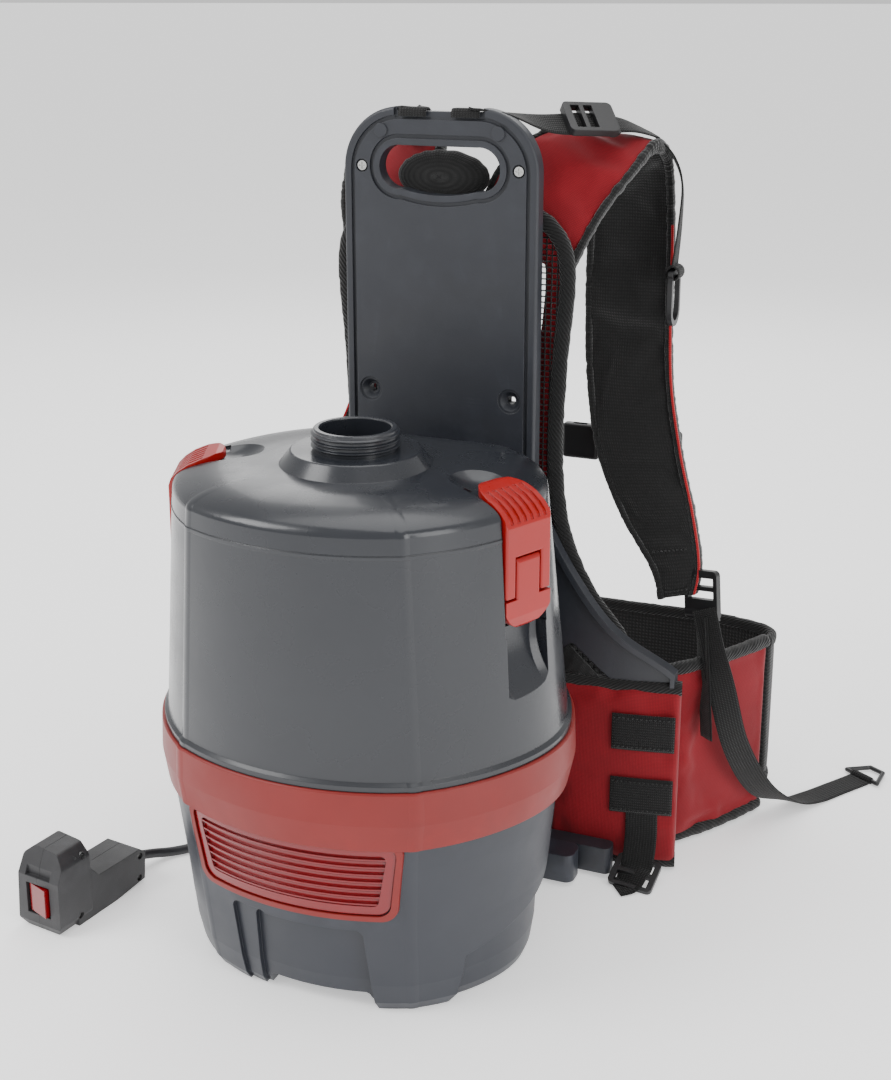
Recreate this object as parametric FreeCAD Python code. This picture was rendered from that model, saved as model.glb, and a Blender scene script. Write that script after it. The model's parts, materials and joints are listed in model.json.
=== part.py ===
"""Backpack vacuum cleaner: motor base, dust chamber and latched lid on a carrying frame with a harness.

Frame: millimetres, +Z up, the floor at z = 0. The Z axis is the axis of the hose neck.
The grille faces -Y, the wearer's harness is on +Y, and X is across the machine.
"""
import FreeCAD, Part

import math
import os

from FreeCAD import Vector as V

os.makedirs("parts", exist_ok=True)

# ---------------------------------------------------------------- driving dimensions

BASE_TOP = 140.0          # top of the motor base, inside the ring band
RING_LOW = 136.0          # lower edge of the ring band
RING_HIGH = 178.0         # upper edge of the ring band
SEAM = 336.0              # joint between the dust chamber and the lid
DOME_TOP = 363.0          # flat crown of the lid
BOSS_TOP = 373.0          # platform that carries the hose neck
NECK_TOP = 388.0          # rim of the hose neck
NECK_R = 29.0             # outside of the hose neck, under the threads
NECK_BORE = 24.5          # inside of the hose neck
WALL = 0.975              # inner outline of a moulded shell, as a share of the outer one

PLATE_FRONT = 147.0       # front face of the back plate
PLATE_THICK = 12.0
PLATE_HALF = 77.5         # half width of the back plate
PLATE_TOP = 592.0
PLATE_LOW = 190.0
SLOT_LOW = 528.0          # carrying-handle slot
SLOT_HIGH = 564.0
SLOT_HALF = 48.0
SCREW_X = 62.5            # cross-headed screws beside the handle
SCREW_Z = 548.0
MOUNT_X = 57.2            # countersunk through holes above the lid
MOUNT_Z = 376.8
MOUNT_HOLE_R = 3.2

LATCH_TURN = -23.4        # direction that a latch faces, in degrees from +X
LATCH_OFFSET = 34.0       # latch centre along the side of the body
LATCH_WIDE = 42.0
LATCH_FACE = 131.5        # outer face of a closed latch, out from the Z axis
PIVOT_N, PIVOT_Z = -10.0, 314.0    # lever pin: out from the latch's face, and height
HOOK_N, HOOK_Z = -5.0, 302.0       # hook pin
PIN_R = 1.5
RUN = 0.05                # running clearance round a pin or shaft

MOTOR_R = 56.0
SHAFT_R = 4.0
IMPELLER_R = 47.0

FLARE_FROM = 80.0         # the frame and the pad curve towards the wearer outside this
PAD_Y = 172.0             # frame side of the mesh back pad
PAD_THICK = 4.0
BINDING = 13.0            # width of the pad's edge binding
BELT_LOW = 4.0            # waist belt stands just clear of the floor
BELT_HIGH = 157.0
WEB_THICK = 1.6
WEB_WIDE = 22.0

POD_TURN = -8.0           # the switch pod lies a little askew
POD_AT = V(-241.0, -93.0, 0.0)
CABLE_R = 3.75
GLAND_R = 6.4             # sleeve of the lead where it enters the base


# ---------------------------------------------------------------- small helpers

def box(x0, x1, y0, y1, z0, z1):
    return Part.makeBox(x1 - x0, y1 - y0, z1 - z0, V(x0, y0, z0))


def rod(radius, start, end):
    along = end - start
    return Part.makeCylinder(radius, along.Length, start, along)


def fuse(shapes):
    whole = shapes[0]
    if len(shapes) > 1:
        whole = whole.multiFuse(shapes[1:])
    try:
        return whole.removeSplitter()
    except Part.OCCError:
        return whole


def cut(shape, tools):
    for tool in tools:
        shape = shape.cut(tool)
    return shape


def turned(shape, degrees, centre=V(0, 0, 0), axis=V(0, 0, 1)):
    copy = shape.copy()
    copy.rotate(centre, axis, degrees)
    return copy


def moved(shape, by):
    copy = shape.copy()
    copy.translate(by)
    return copy


def mirrored(shape):
    return shape.mirror(V(0, 0, 0), V(1, 0, 0))


def pair(shape):
    return Part.makeCompound([shape, mirrored(shape)])


def soften(shape, radius, wanted):
    """Fillet the edges that `wanted` picks, and keep the sharp shape if the kernel refuses."""
    edges = [e for e in shape.Edges if wanted(e)]
    for size in (radius, radius * 0.6, radius * 0.3):
        try:
            round_shape = shape.makeFillet(size, edges)
            if round_shape.isValid():
                return round_shape
        except Exception:
            pass
    return shape


def polygon(points):
    return Part.makePolygon(list(points) + [points[0]])


def front_prism(points, y0, y1):
    """Solid with an outline drawn in X and Z, between two values of Y."""
    wire = polygon([V(x, y0, z) for x, z in points])
    return Part.Face(wire).extrude(V(0, y1 - y0, 0))


def rounded(points, radius, y0, y1):
    """front_prism with every corner rounded."""
    shape = front_prism(points, y0, y1)
    return soften(shape, radius, along_y)


def along_y(edge):
    a, b = edge.Vertexes[0].Point, edge.Vertexes[-1].Point
    return abs(a.x - b.x) < 1e-6 and abs(a.z - b.z) < 1e-6 and abs(a.y - b.y) > 1e-6


def along_z(edge):
    a, b = edge.Vertexes[0].Point, edge.Vertexes[-1].Point
    return abs(a.x - b.x) < 1e-6 and abs(a.y - b.y) < 1e-6 and abs(a.z - b.z) > 1e-6


def spun(profile):
    """Solid of revolution about Z from (radius, height) points."""
    wire = polygon([V(r, 0, z) for r, z in profile])
    return Part.Face(wire).revolve(V(0, 0, 0), V(0, 0, 1), 360)


def save(node, shape):
    shape.exportStep("parts/" + node + ".step")
    good = "" if shape.isValid() else "  NOT VALID"
    print("%-22s %2d solids %9.0f mm3%s" % (node, len(shape.Solids), shape.Volume, good))


# ---------------------------------------------------------------- outline of the body

def plan(scale, z, shift=0.0, wide=1.0):
    """The body's outline at height z: bowed front, soft front corners, bulged sides and a flat back."""
    front = Part.Arc(V(-82, -102, 0), V(0, -121, 0), V(82, -102, 0)).toShape()
    corner = Part.Arc(V(82, -102, 0), V(86.8, -99.9, 0), V(90.5, -96.2, 0)).toShape()
    side = Part.BSplineCurve()
    side.interpolate([V(90.5, -96.2, 0), V(131, -49, 0), V(149, 8, 0), V(138, 62, 0), V(112, 106, 0),
                      V(84, 130, 0)])
    side = side.toShape()
    back = Part.LineSegment(V(84, 130, 0), V(-84, 130, 0)).toShape()
    wire = Part.Wire([front, corner, side, back, mirrored(side), mirrored(corner)])
    wire.scale(scale)
    wire.translate(V(0, shift, z))
    if wide == 1.0:
        return wire
    stretch = FreeCAD.Matrix()
    stretch.scale(wide, 1, 1)
    return wire.transformGeometry(stretch)


def stack(levels, ruled=True):
    """Solid through a list of (height, scale, shift, widening) outlines."""
    return Part.makeLoft([plan(level[1], level[0], *level[2:]) for level in levels], True, ruled)


def scaled(levels, share):
    return [(z, s * share, *rest) for z, s, *rest in levels]


def shell(levels, wall=WALL, floor=0.0, roof=0.0, ruled=True):
    """Hollow form of the same outlines, open at an end where floor or roof is 0."""
    outer = stack(levels, ruled)
    inner = [list(level) for level in scaled(levels, wall)]
    inner[0][0] += floor if floor else -0.01
    inner[-1][0] -= roof if roof else -0.01
    return outer.cut(stack(inner, ruled))


BASE_LEVELS = [(0, 0.80, 3, 1.07), (8, 0.83, 1, 1.06), (24, 0.855, 0, 1.05), (70, 0.888, -3, 1.03),
               (118, 0.922, -5, 1.03), (BASE_TOP, 0.935, -5.5, 1.03)]
BODY_LEVELS = [(184, 0.985, 0), (SEAM, 0.895, -6)]
LID_EDGE = 347.0
LID_LEVELS = [(SEAM, 0.895, -6), (LID_EDGE, 0.888, -6)]
DOME_TURNS = [math.radians(a) for a in (0, 14, 28, 42, 56, 70, 82, 90)]
DOME_LEVELS = [(LID_EDGE + (DOME_TOP - LID_EDGE) * math.sin(a), 0.45 + 0.438 * math.cos(a),
                -6 + 2 * math.sin(a)) for a in DOME_TURNS]


# ---------------------------------------------------------------- a latch in its own directions

def latch_place(shape):
    """From (out from the latch's face, along, up) to the right-hand side of the machine."""
    return turned(moved(shape, V(LATCH_FACE, LATCH_OFFSET, 0)), LATCH_TURN)


def side_prism(points, half):
    """Outline in the out-and-up plane, extruded both ways along the side."""
    wire = polygon([V(n, -half, z) for n, z in points])
    return Part.Face(wire).extrude(V(0, 2 * half, 0))


def latch_hook():
    """Cap that reaches over the lid, with two legs that straddle the lever's tongue."""
    half = LATCH_WIDE / 2
    outline = [(0, 294), (0, 342), (-2, 347.5), (-7, 352.5), (-14, 357), (-24, 361), (-33, 363.5),
               (-37, 363), (-38.5, 361), (-38.5, 358), (-30, 357.2), (-22, 354.8), (-14, 351.6),
               (-9, 348.2), (-6.5, 344), (-5.5, 338), (-5.5, 324), (-8.2, 321), (-8.2, 294)]
    hook = side_prism(outline, half)
    hook = hook.cut(side_prism([(-12, 290), (6, 290), (6, 321), (-12, 321)], 12))
    round_end = Part.makeCylinder(half, 80, V(half - 38.5, 0, 320))
    round_end = round_end.common(box(-40, 6, -half, half, 320, 400))
    hook = hook.common(fuse([box(half - 38.5, 6, -half, half, 280, 400), round_end]))
    groove = [(-25, 366), (-24, 360.2), (-14, 355.4), (-7.6, 351.2), (-3.2, 347), (-1.4, 344), (4, 344),
              (4, 366)]
    for k in range(6):
        hook = hook.cut(moved(side_prism(groove, 1.6), V(0, -15.5 + 6.2 * k, 0)))
    hook = soften(hook, 1.6, lambda e: e.BoundBox.XMin > -0.01 and e.BoundBox.ZMax < 343 and e.Length > 20)
    return latch_place(hook.cut(rod(PIN_R + RUN, V(HOOK_N, -30, HOOK_Z), V(HOOK_N, 30, HOOK_Z))))


def latch_lever():
    """Thumb lever with a tongue that stands between the hook's legs."""
    half = LATCH_WIDE / 2
    grip = side_prism([(-8, 292), (0, 292), (0, 280), (-1.5, 273), (-5, 270), (-8, 272)], half)
    tongue = side_prism([(-8, 291), (0, 291), (0, 317.5), (-2, 319.5), (-10, 319), (-14.8, 314), (-13, 308),
                         (-9, 300)], 11)
    corner = Part.makeCylinder(half + 3, 30, V(-20, 0, 294), V(1, 0, 0))
    grip = grip.common(fuse([corner, box(-20, 6, -half, half, 288, 300)]))
    lever = soften(fuse([grip, tongue]), 1.6, lambda e: e.BoundBox.XMin > -0.01 and e.Length > 10)
    lever = lever.cut(rod(PIN_R + RUN, V(PIVOT_N, -30, PIVOT_Z), V(PIVOT_N, 30, PIVOT_Z)))
    lever = lever.cut(rod(PIN_R, V(HOOK_N, -30, HOOK_Z), V(HOOK_N, 30, HOOK_Z)))
    return latch_place(lever)


def latch_pocket():
    """Room for the lever in the side of the chamber, with the finger scoop below it."""
    half = LATCH_WIDE / 2 + 1.5
    pocket = box(-17, 40, -half, half, 268, SEAM + 1)
    scoop = Part.makeCylinder(46, 2 * half - 2, V(31, 1 - half, 262), V(0, 1, 0))
    scoop = scoop.common(Part.makeSphere(52, V(34, 0, 264)))
    return latch_place(fuse([pocket, scoop]))


def lid_pocket():
    """Seat for the hook on the lid's shoulder, with a thumb scoop inboard of it."""
    half = LATCH_WIDE / 2 + 1.2
    seat = side_prism([(-40, 380), (-40, 357.6), (-30, 356.7), (-22, 354.3), (-14.2, 351), (-9.6, 347.8),
                       (-7.3, 343), (-7, 330), (40, 330), (40, 380)], half)
    scoop = Part.makeSphere(34, V(-44, 0, 389))
    return latch_place(fuse([seat, scoop]))


# ---------------------------------------------------------------- canister

def grille_outline(grow=0.0):
    """Front view of the exhaust opening: wider at the top, with round lower corners."""
    return [(-79 - grow, 139 + grow), (76 + grow, 139 + grow), (68 + grow, 84 - grow),
            (-71 - grow, 84 - grow)]


def base_band(outer, inner):
    """A skin that follows the base's front between two shares of its outline."""
    big = stack(scaled(BASE_LEVELS, outer))
    small = stack([(z - 1 if z == 0 else z + 1 if z == BASE_TOP else z, *rest)
                   for z, *rest in scaled(BASE_LEVELS, inner)])
    return big.cut(small).common(box(-130, 130, -140, 0, 0, BASE_TOP))


def belly(grow=0.0):
    """Recess in the front between the two front feet."""
    return rounded([(-34 - grow, -10), (53 + grow, -10), (49 + grow, 70 + grow), (-31 - grow, 70 + grow)],
                   6, -130, -55)


def belly_flank():
    """Shallower step that softens the left wall of the front recess."""
    return rounded([(-46, -10), (-20, -10), (-20, 72), (-50, 72)], 6, -130, -55)


def base_side(grow=0.0):
    """Region of the right-hand side below a shoulder that rises towards the back."""
    edge = [V(90 - grow, -60 - grow, 40 + grow), V(90 - grow, 200, 128 + grow), V(90 - grow, 200, -5),
            V(90 - grow, -60 - grow, -5)]
    return Part.Face(polygon(edge)).extrude(V(70, 0, 0))


def motor_base():
    inner, core = [[(z + 1 if z == BASE_TOP else max(z, 14 + z / 10), *rest)
                    for z, *rest in scaled(BASE_LEVELS, share)] for share in (0.965, 0.905)]
    hollow = stack(inner).cut(belly(4)).cut(base_side(4)).cut(mirrored(base_side(4)))
    hollow = fuse([hollow, stack(core)])
    base = stack(BASE_LEVELS).cut(rounded(grille_outline(), 9, -130, -60))
    # The front steps back between the feet and the sides step in below the shoulder.
    base = base.cut(belly().cut(stack(scaled(BASE_LEVELS, 0.935))))
    base = base.cut(belly_flank().cut(stack(scaled(BASE_LEVELS, 0.972))))
    step = base_side().cut(stack(scaled(BASE_LEVELS, 0.945)))
    base = cut(base, [step, mirrored(step)])
    base = base.cut(rounded([(-33, -10), (52, -10), (46, 12), (-27, 12)], 4, -130, -38))
    slot = box(120, 160, 22, 30, 98, 128)
    base = cut(base, [slot, mirrored(slot)])
    ear = soften(box(66, 126, 112, 134.5, 4, 27), 7, along_z)
    bridge = box(-70, 70, 96, 134.5, 3, 29)
    base = fuse([base, ear, mirrored(ear), bridge]).cut(hollow)
    posts = [rod(5, V(x, y, 12), V(x, y, 22)) for x in (-46, 46) for y in (-36, 56)]
    inward = V(ROUTE[-1] - ROUTE[-2]).normalize()
    gland = rod(GLAND_R, ROUTE[-1] - inward * 14, ROUTE[-1] + inward * 20)
    return fuse([base] + posts).cut(gland).cut(bolt_holes())


def ring_band():
    outer = stack([(RING_LOW, 1.0, -1), (155, 1.026, 0), (RING_HIGH - 1, 1.02, 0), (RING_HIGH, 1.013, 0)])
    inner = stack([(RING_LOW - 1, 0.9355, -5.5, 1.03), (RING_HIGH + 1, 0.9355, -5.5, 1.03)])
    band = outer.cut(inner)
    # Below the front the band runs down round the grille as a border.
    border = rounded(grille_outline(4.5), 11, -130, -60).cut(rounded(grille_outline(0.4), 9, -130, -60))
    border = border.common(base_band(1.02, 1.0005)).common(box(-120, 120, -140, 0, 60, RING_LOW))
    return fuse([band, border])


def exhaust_grille():
    skin = base_band(1.008, 0.97)
    opening = rounded(grille_outline(-0.3), 9, -130, -60)
    window = rounded([(-72, 131), (69, 131), (61, 91), (-64, 91)], 4, -130, -60)
    frame = skin.common(opening.cut(window))
    lips, faces = [], []
    for k in range(7):
        z = 91.6 + 5.9 * k
        lips.append(box(-80, 80, -130, -60, z, z + 1.3))
        faces.append(box(-80, 80, -130, -60, z + 1.29, z + 4.7))
    lips = base_band(1.006, 0.975).common(window).common(Part.makeCompound(lips))
    faces = base_band(0.991, 0.975).common(window).common(Part.makeCompound(faces))
    return fuse([frame] + lips.Solids + faces.Solids)


def exhaust_filter():
    pad = base_band(0.965, 0.905)
    return pad.common(rounded([(-74, 134), (72, 134), (65, 88), (-67, 88)], 4, -130, -40))


def filter_chamber():
    body = shell(BODY_LEVELS)
    lip = stack([(RING_HIGH, 1.004, 0), (182, 1.004, 0), (184.01, 0.9855, 0)])
    lip = lip.cut(stack([(RING_HIGH - 1, 0.955, 0), (185, 0.955, 0)]))
    bead = stack([(SEAM - 3, 0.8985, -5.9), (SEAM - 0.6, 0.8985, -6)])
    bead = bead.cut(stack([(SEAM - 4, 0.876, -6), (SEAM, 0.876, -6)]))
    block = latch_place(box(-32, 20, -29, 29, 224, SEAM - 0.5)).common(stack(BODY_LEVELS))
    ledge = stack([(328, 0.886, -6), (332, 0.886, -6)]).cut(stack([(327, 0.735, -6), (333, 0.735, -6)]))
    lugs = [box(x - 14, x + 14, 100, PLATE_FRONT, z - 12, z + 12) for x in (-50, 50) for z in (215, 300)]
    lugs = [soften(lug, 4, along_y).cut(stack(scaled(BODY_LEVELS, WALL))) for lug in lugs]
    body = fuse([body, lip, bead, ledge, block, mirrored(block)] + lugs)
    body = cut(body, [latch_pocket(), mirrored(latch_pocket()), latch_pin_hole(),
                      mirrored(latch_pin_hole())])
    return body.cut(bolt_holes())


def lid():
    outer = fuse([stack(LID_LEVELS), stack(DOME_LEVELS, ruled=False)])
    skirt = [(z - 0.02 if z == SEAM else z, *rest) for z, *rest in scaled(LID_LEVELS, WALL)]
    dome = [(z - 3.2 if z > LID_EDGE else z - 0.01, *rest) for z, *rest in scaled(DOME_LEVELS, WALL)]
    inner = fuse([stack(skirt), stack(dome, ruled=False)])
    boss = Part.makeCone(55, 45, BOSS_TOP - DOME_TOP + 3, V(0, 0, DOME_TOP - 3))
    boss = soften(boss, 2.0, lambda e: e.BoundBox.ZMin > BOSS_TOP - 0.01)
    core = Part.makeCone(51, 41, 9, V(0, 0, DOME_TOP - 3.3))
    seat_block = latch_place(box(-72, 20, -32, 32, 344, 372)).common(outer)
    skirt_block = latch_place(box(-12, 20, -29, 29, SEAM, 350)).common(outer)
    rib = stack([(SEAM + 0.4, 0.760, -6), (357, 0.760, -6)])
    rib = rib.cut(stack([(SEAM - 1, 0.740, -6), (358, 0.740, -6)]))
    blocks = [seat_block, mirrored(seat_block), skirt_block, mirrored(skirt_block)]
    body = fuse([outer.cut(inner), boss.cut(core), rib.common(outer)] + blocks)
    body = cut(body, [lid_pocket(), mirrored(lid_pocket())])
    return body.cut(Part.makeCylinder(NECK_R, 40, V(0, 0, 350)))


def lid_seal():
    band = stack([(332.1, 0.768, -6), (SEAM + 0.3, 0.768, -6)])
    return band.cut(stack([(331, 0.737, -6), (SEAM + 1, 0.737, -6)]))


def hose_neck():
    profile = [(NECK_BORE, 338), (NECK_R - 0.2, 338), (NECK_R - 0.2, 354), (40, 354), (40, 356.5),
               (NECK_R - 0.05, 356.5), (NECK_R - 0.05, BOSS_TOP), (NECK_R, BOSS_TOP)]
    for k in range(3):
        z = BOSS_TOP + 2.0 + 4.2 * k
        profile += [(NECK_R, z), (NECK_R + 1.7, z + 0.9), (NECK_R + 1.7, z + 1.6), (NECK_R, z + 2.5)]
    profile += [(NECK_R, NECK_TOP - 0.8), (NECK_R - 0.8, NECK_TOP), (NECK_BORE + 0.8, NECK_TOP),
                (NECK_BORE, NECK_TOP - 0.8)]
    return spun(profile)


def dust_bag():
    bag = stack([(200, 0.50, 0), (220, 0.655, -1), (300, 0.655, -4), (320, 0.50, -4)])
    hollow = stack([(202, 0.485, 0), (221, 0.64, -1), (299, 0.64, -4), (318, 0.485, -4)])
    return bag.cut(hollow).cut(Part.makeCylinder(23, 30, V(0, 0, 305)))


def bag_collar():
    return spun([(23, 320.2), (42, 320.2), (42, 323), (33, 323), (33, 336), (29.2, 336), (29.2, 324.5),
                 (23, 324.5)])


def hepa_filter():
    return spun([(24, 156.2), (58, 156.2), (58, 192), (24, 192)])


def filter_frame():
    tray = stack([(150, 0.93, -5.5), (156, 0.93, -5.5)]).cut(Part.makeCylinder(22, 20, V(0, 0, 145)))
    rim = Part.makeCylinder(63, 12, V(0, 0, 156)).cut(Part.makeCylinder(58.3, 12, V(0, 0, 156)))
    slots = []
    for k in range(8):
        slot = turned(box(80, 100, -9, 9, 149, 157), 45 * k + 22.5)
        slots.append(slot)
    return fuse([tray, rim]).cut(Part.makeCompound(slots))


def motor_housing():
    can = spun([(0, 24), (MOTOR_R, 24), (MOTOR_R, 118), (20, 118), (20, 115), (MOTOR_R - 3, 115),
                (MOTOR_R - 3, 27), (0, 27)])
    vents = [turned(box(MOTOR_R - 8, MOTOR_R + 4, -6, 6, 86, 104), 40 * k) for k in range(9)]
    bridge = box(-54, 54, -7, 7, 76, 80).fuse(Part.makeCylinder(14, 8, V(0, 0, 74)))
    bridge = bridge.cut(Part.makeCylinder(10.2, 20, V(0, 0, 70)))
    seat = spun([(10.2, 26.5), (13.2, 26.5), (13.2, 36), (10.2, 36)])
    body = fuse([can, seat, bridge])
    return body.cut(Part.makeCompound(vents))


def motor_stator():
    core = Part.makeCylinder(50, 26, V(0, 0, 42)).cut(Part.makeCylinder(26.5, 26, V(0, 0, 42)))
    slots = [turned(box(30, 44, -9, 9, 41, 69), 90 * k + 45) for k in range(4)]
    return core.cut(Part.makeCompound(slots))


def rotor_shaft():
    return spun([(0, 28), (SHAFT_R, 28), (SHAFT_R, 40), (25.5, 40), (25.5, 70), (SHAFT_R, 70),
                  (SHAFT_R, 112),
                 (0, 112)])


def impeller():
    disc = spun([(SHAFT_R, 88), (IMPELLER_R, 88), (IMPELLER_R, 90), (12, 90), (9, 106), (SHAFT_R, 106)])
    cover = spun([(22, 102), (22, 104), (IMPELLER_R, 101), (IMPELLER_R, 99.4)])
    blades = []
    for k in range(8):
        blades.append(turned(box(12, IMPELLER_R - 1, -1, 1, 89, 101), 45 * k))
    return fuse([disc, cover] + blades)


def motor_bearings():
    races = []
    for z in (28.5, 75):
        races.append(spun([(SHAFT_R + RUN, z), (10.2, z), (10.2, z + 7), (SHAFT_R + RUN, z + 7)]))
    return Part.makeCompound(races)


def motor_mount():
    return spun([(MOTOR_R - 12, 16), (MOTOR_R + 4, 16), (MOTOR_R + 4, 40), (MOTOR_R, 40), (MOTOR_R, 24),
                 (MOTOR_R - 12, 24)])


def control_board():
    board = box(-40, 40, 74, 76, 40, 92)
    parts = [box(-30, -14, 76, 92, 50, 70), box(0, 12, 76, 88, 46, 60), rod(7, V(26, 76, 70), V(26, 94, 70))]
    return fuse([board] + parts)


def pin_rod(out, up, half):
    return latch_place(rod(PIN_R, V(out, -half, up), V(out, half, up)))


def latch_pin_hole():
    return pin_rod(PIVOT_N, PIVOT_Z, 28)


# ---------------------------------------------------------------- frame

def bolt_holes():
    """Clearance for the bolts that hold the chamber and the base to the frame."""
    holes = [rod(2.5, V(x, 118, z), V(x, 175, z)) for x in (-50, 50) for z in (215, 300)]
    holes += [rod(2.5, V(x, 118, 16), V(x, 160, 16)) for x in (-100, 100)]
    return Part.makeCompound(holes)


def frame_bolts():
    bolts = []
    for x in (-50, 50):
        for z in (215, 300):
            shank = rod(2.5, V(x, 120, z), V(x, 167, z))
            bolts.append(fuse([shank, rod(5.5, V(x, 167, z), V(x, 170.5, z))]))
    for x in (-100, 100):
        bolts.append(fuse([rod(2.5, V(x, 120, 16), V(x, 151, 16)),
                           rod(5.5, V(x, 151, 16), V(x, 154.5, 16))]))
    return Part.makeCompound(bolts)


def arch(half, low, high, corner, y0, y1):
    """Upright plate whose two top corners are round."""
    shape = box(-half, half, y0, y1, low, high)
    return soften(shape, corner, lambda e: along_y(e) and e.BoundBox.ZMin > low + 1)


def handle_outline(grow, y0, y1):
    """Slot with round ends and a lower edge that bows down in the middle."""
    high = SLOT_HIGH + grow
    low = SLOT_LOW - grow
    half = SLOT_HALF + grow
    r = (high - low) / 2
    left = Part.Arc(V(-half + r, y0, high), V(-half, y0, high - r), V(-half + r, y0, low + 4)).toShape()
    right = Part.Arc(V(half - r, y0, low + 4), V(half, y0, high - r), V(half - r, y0, high)).toShape()
    bow = Part.Arc(V(-half + r, y0, low + 4), V(0, y0, low), V(half - r, y0, low + 4)).toShape()
    top = Part.LineSegment(V(half - r, y0, high), V(-half + r, y0, high)).toShape()
    return Part.Face(Part.Wire([left, bow, right, top])).extrude(V(0, y1 - y0, 0))


def back_plate():
    front, back = PLATE_FRONT, PLATE_FRONT + PLATE_THICK
    plate = arch(PLATE_HALF, PLATE_LOW, PLATE_TOP, 46, front, back)
    plate = soften(plate, 2.5, lambda e: e.BoundBox.YMax < front + 0.01 and e.BoundBox.ZMax > PLATE_LOW + 5)
    groove = arch(PLATE_HALF - 6, PLATE_LOW - 1, PLATE_TOP - 6, 41, front - 1, front + 2)
    groove = groove.cut(arch(PLATE_HALF - 9, PLATE_LOW - 2, PLATE_TOP - 9, 38, front - 2, front + 3))
    lip = handle_outline(8, front - 1, front + 2).cut(handle_outline(5, front - 2, front + 3))
    notch = box(-34, 34, front - 1, back + 1, PLATE_TOP - 3.2, PLATE_TOP + 1)
    back_pocket = arch(PLATE_HALF - 5, PLATE_LOW + 4, PLATE_TOP - 8, 40, front + 4.5, back + 1)
    back_pocket = back_pocket.cut(handle_outline(5, front, back + 2))
    keep = [rod(11, V(s * x, front, z), V(s * x, back + 2, z)) for s in (-1, 1)
            for x, z in ((SCREW_X, SCREW_Z), (MOUNT_X, MOUNT_Z), (50, 215), (50, 300))]
    keep += [box(-3 + x, 3 + x, front, back + 2, PLATE_LOW, SLOT_LOW - 6) for x in (-30, 0, 30)]
    back_pocket = cut(back_pocket, keep)
    step = box(-36, 36, front - 1, front + 2.6, PLATE_TOP - 8, PLATE_TOP + 1)
    plate = cut(plate, [groove, step, lip, handle_outline(0, front - 1, back + 1), notch, back_pocket])
    for s in (-1, 1):
        plate = plate.fuse(rod(5.2, V(s * 46.5, front - 1.2, 574.5), V(s * 46.5, front + 2, 574.5)))
        dish = Part.makeCone(8.0, MOUNT_HOLE_R + 1.2, 5, V(s * MOUNT_X, front + 0.4, MOUNT_Z), V(0, 1, 0))
        dish = dish.fuse(rod(9.4, V(s * MOUNT_X, front - 1, MOUNT_Z), V(s * MOUNT_X, front + 1.1, MOUNT_Z)))
        hole = rod(MOUNT_HOLE_R, V(s * MOUNT_X, front - 1, MOUNT_Z), V(s * MOUNT_X, back + 1, MOUNT_Z))
        screw = rod(4.8, V(s * SCREW_X, front - 1, SCREW_Z), V(s * SCREW_X, front + 2.2, SCREW_Z))
        thread = rod(1.8, V(s * SCREW_X, front, SCREW_Z), V(s * SCREW_X, front + 11, SCREW_Z))
        plate = cut(plate, [dish, hole, screw, thread])
    return plate.removeSplitter().cut(bolt_holes())


def plate_screws():
    screws = []
    for s in (-1, 1):
        x, y = s * SCREW_X, PLATE_FRONT + 0.4
        head = Part.makeCone(4.4, 3.6, 1.8, V(x, y + 1.8, SCREW_Z), V(0, -1, 0))
        cross = [box(x - 2.6, x + 2.6, y - 1, y + 1, SCREW_Z - 0.45, SCREW_Z + 0.45),
                 box(x - 0.45, x + 0.45, y - 1, y + 1, SCREW_Z - 2.6, SCREW_Z + 2.6)]
        shank = rod(1.8, V(x, y + 1.8, SCREW_Z), V(x, y + 10, SCREW_Z))
        screws.append(fuse([cut(head, cross), shank]))
    return Part.makeCompound(screws)


def flared(near, far, reach, rise, z0, z1):
    """Upright slab between two distances in Y that bends towards the wearer on both sides."""
    def edge(y):
        bend = y + rise
        knee = (reach + FLARE_FROM) / 2 + 4
        return [V(-reach, bend, z0), V(-knee, y + rise * 0.22, z0), V(-FLARE_FROM, y, z0),
                V(FLARE_FROM, y, z0), V(knee, y + rise * 0.22, z0), V(reach, bend, z0)]
    def line(points):
        left = Part.Arc(points[0], points[1], points[2]).toShape()
        middle = Part.LineSegment(points[2], points[3]).toShape()
        right = Part.Arc(points[3], points[4], points[5]).toShape()
        return [left, middle, right]
    a, b = edge(near), edge(far)
    ends = [Part.LineSegment(a[5], b[5]).toShape(), Part.LineSegment(b[0], a[0]).toShape()]
    wire = Part.Wire(Part.__sortEdges__(line(a) + line(b) + ends))
    return Part.Face(wire).extrude(V(0, 0, z1 - z0))


def wing_outline():
    """Right-hand half of the hip frame seen from the front, as a closed face."""
    rim = Part.BSplineCurve()
    rim.interpolate([V(70, 100, 318), V(93, 100, 267), V(116, 100, 230), V(148, 100, 194), V(184, 100, 171),
                     V(203, 100, 150)])
    points = [V(203, 100, 150), V(203, 100, 96), V(150, 100, 80), V(92, 100, 60), V(80, 100, 26),
              V(-80, 100, 26),
              V(-80, 100, 318), V(70, 100, 318)]
    rest = [Part.LineSegment(a, b).toShape() for a, b in zip(points[:-1], points[1:])]
    return Part.Face(Part.Wire([rim.toShape()] + rest)), rim.toShape()


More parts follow.
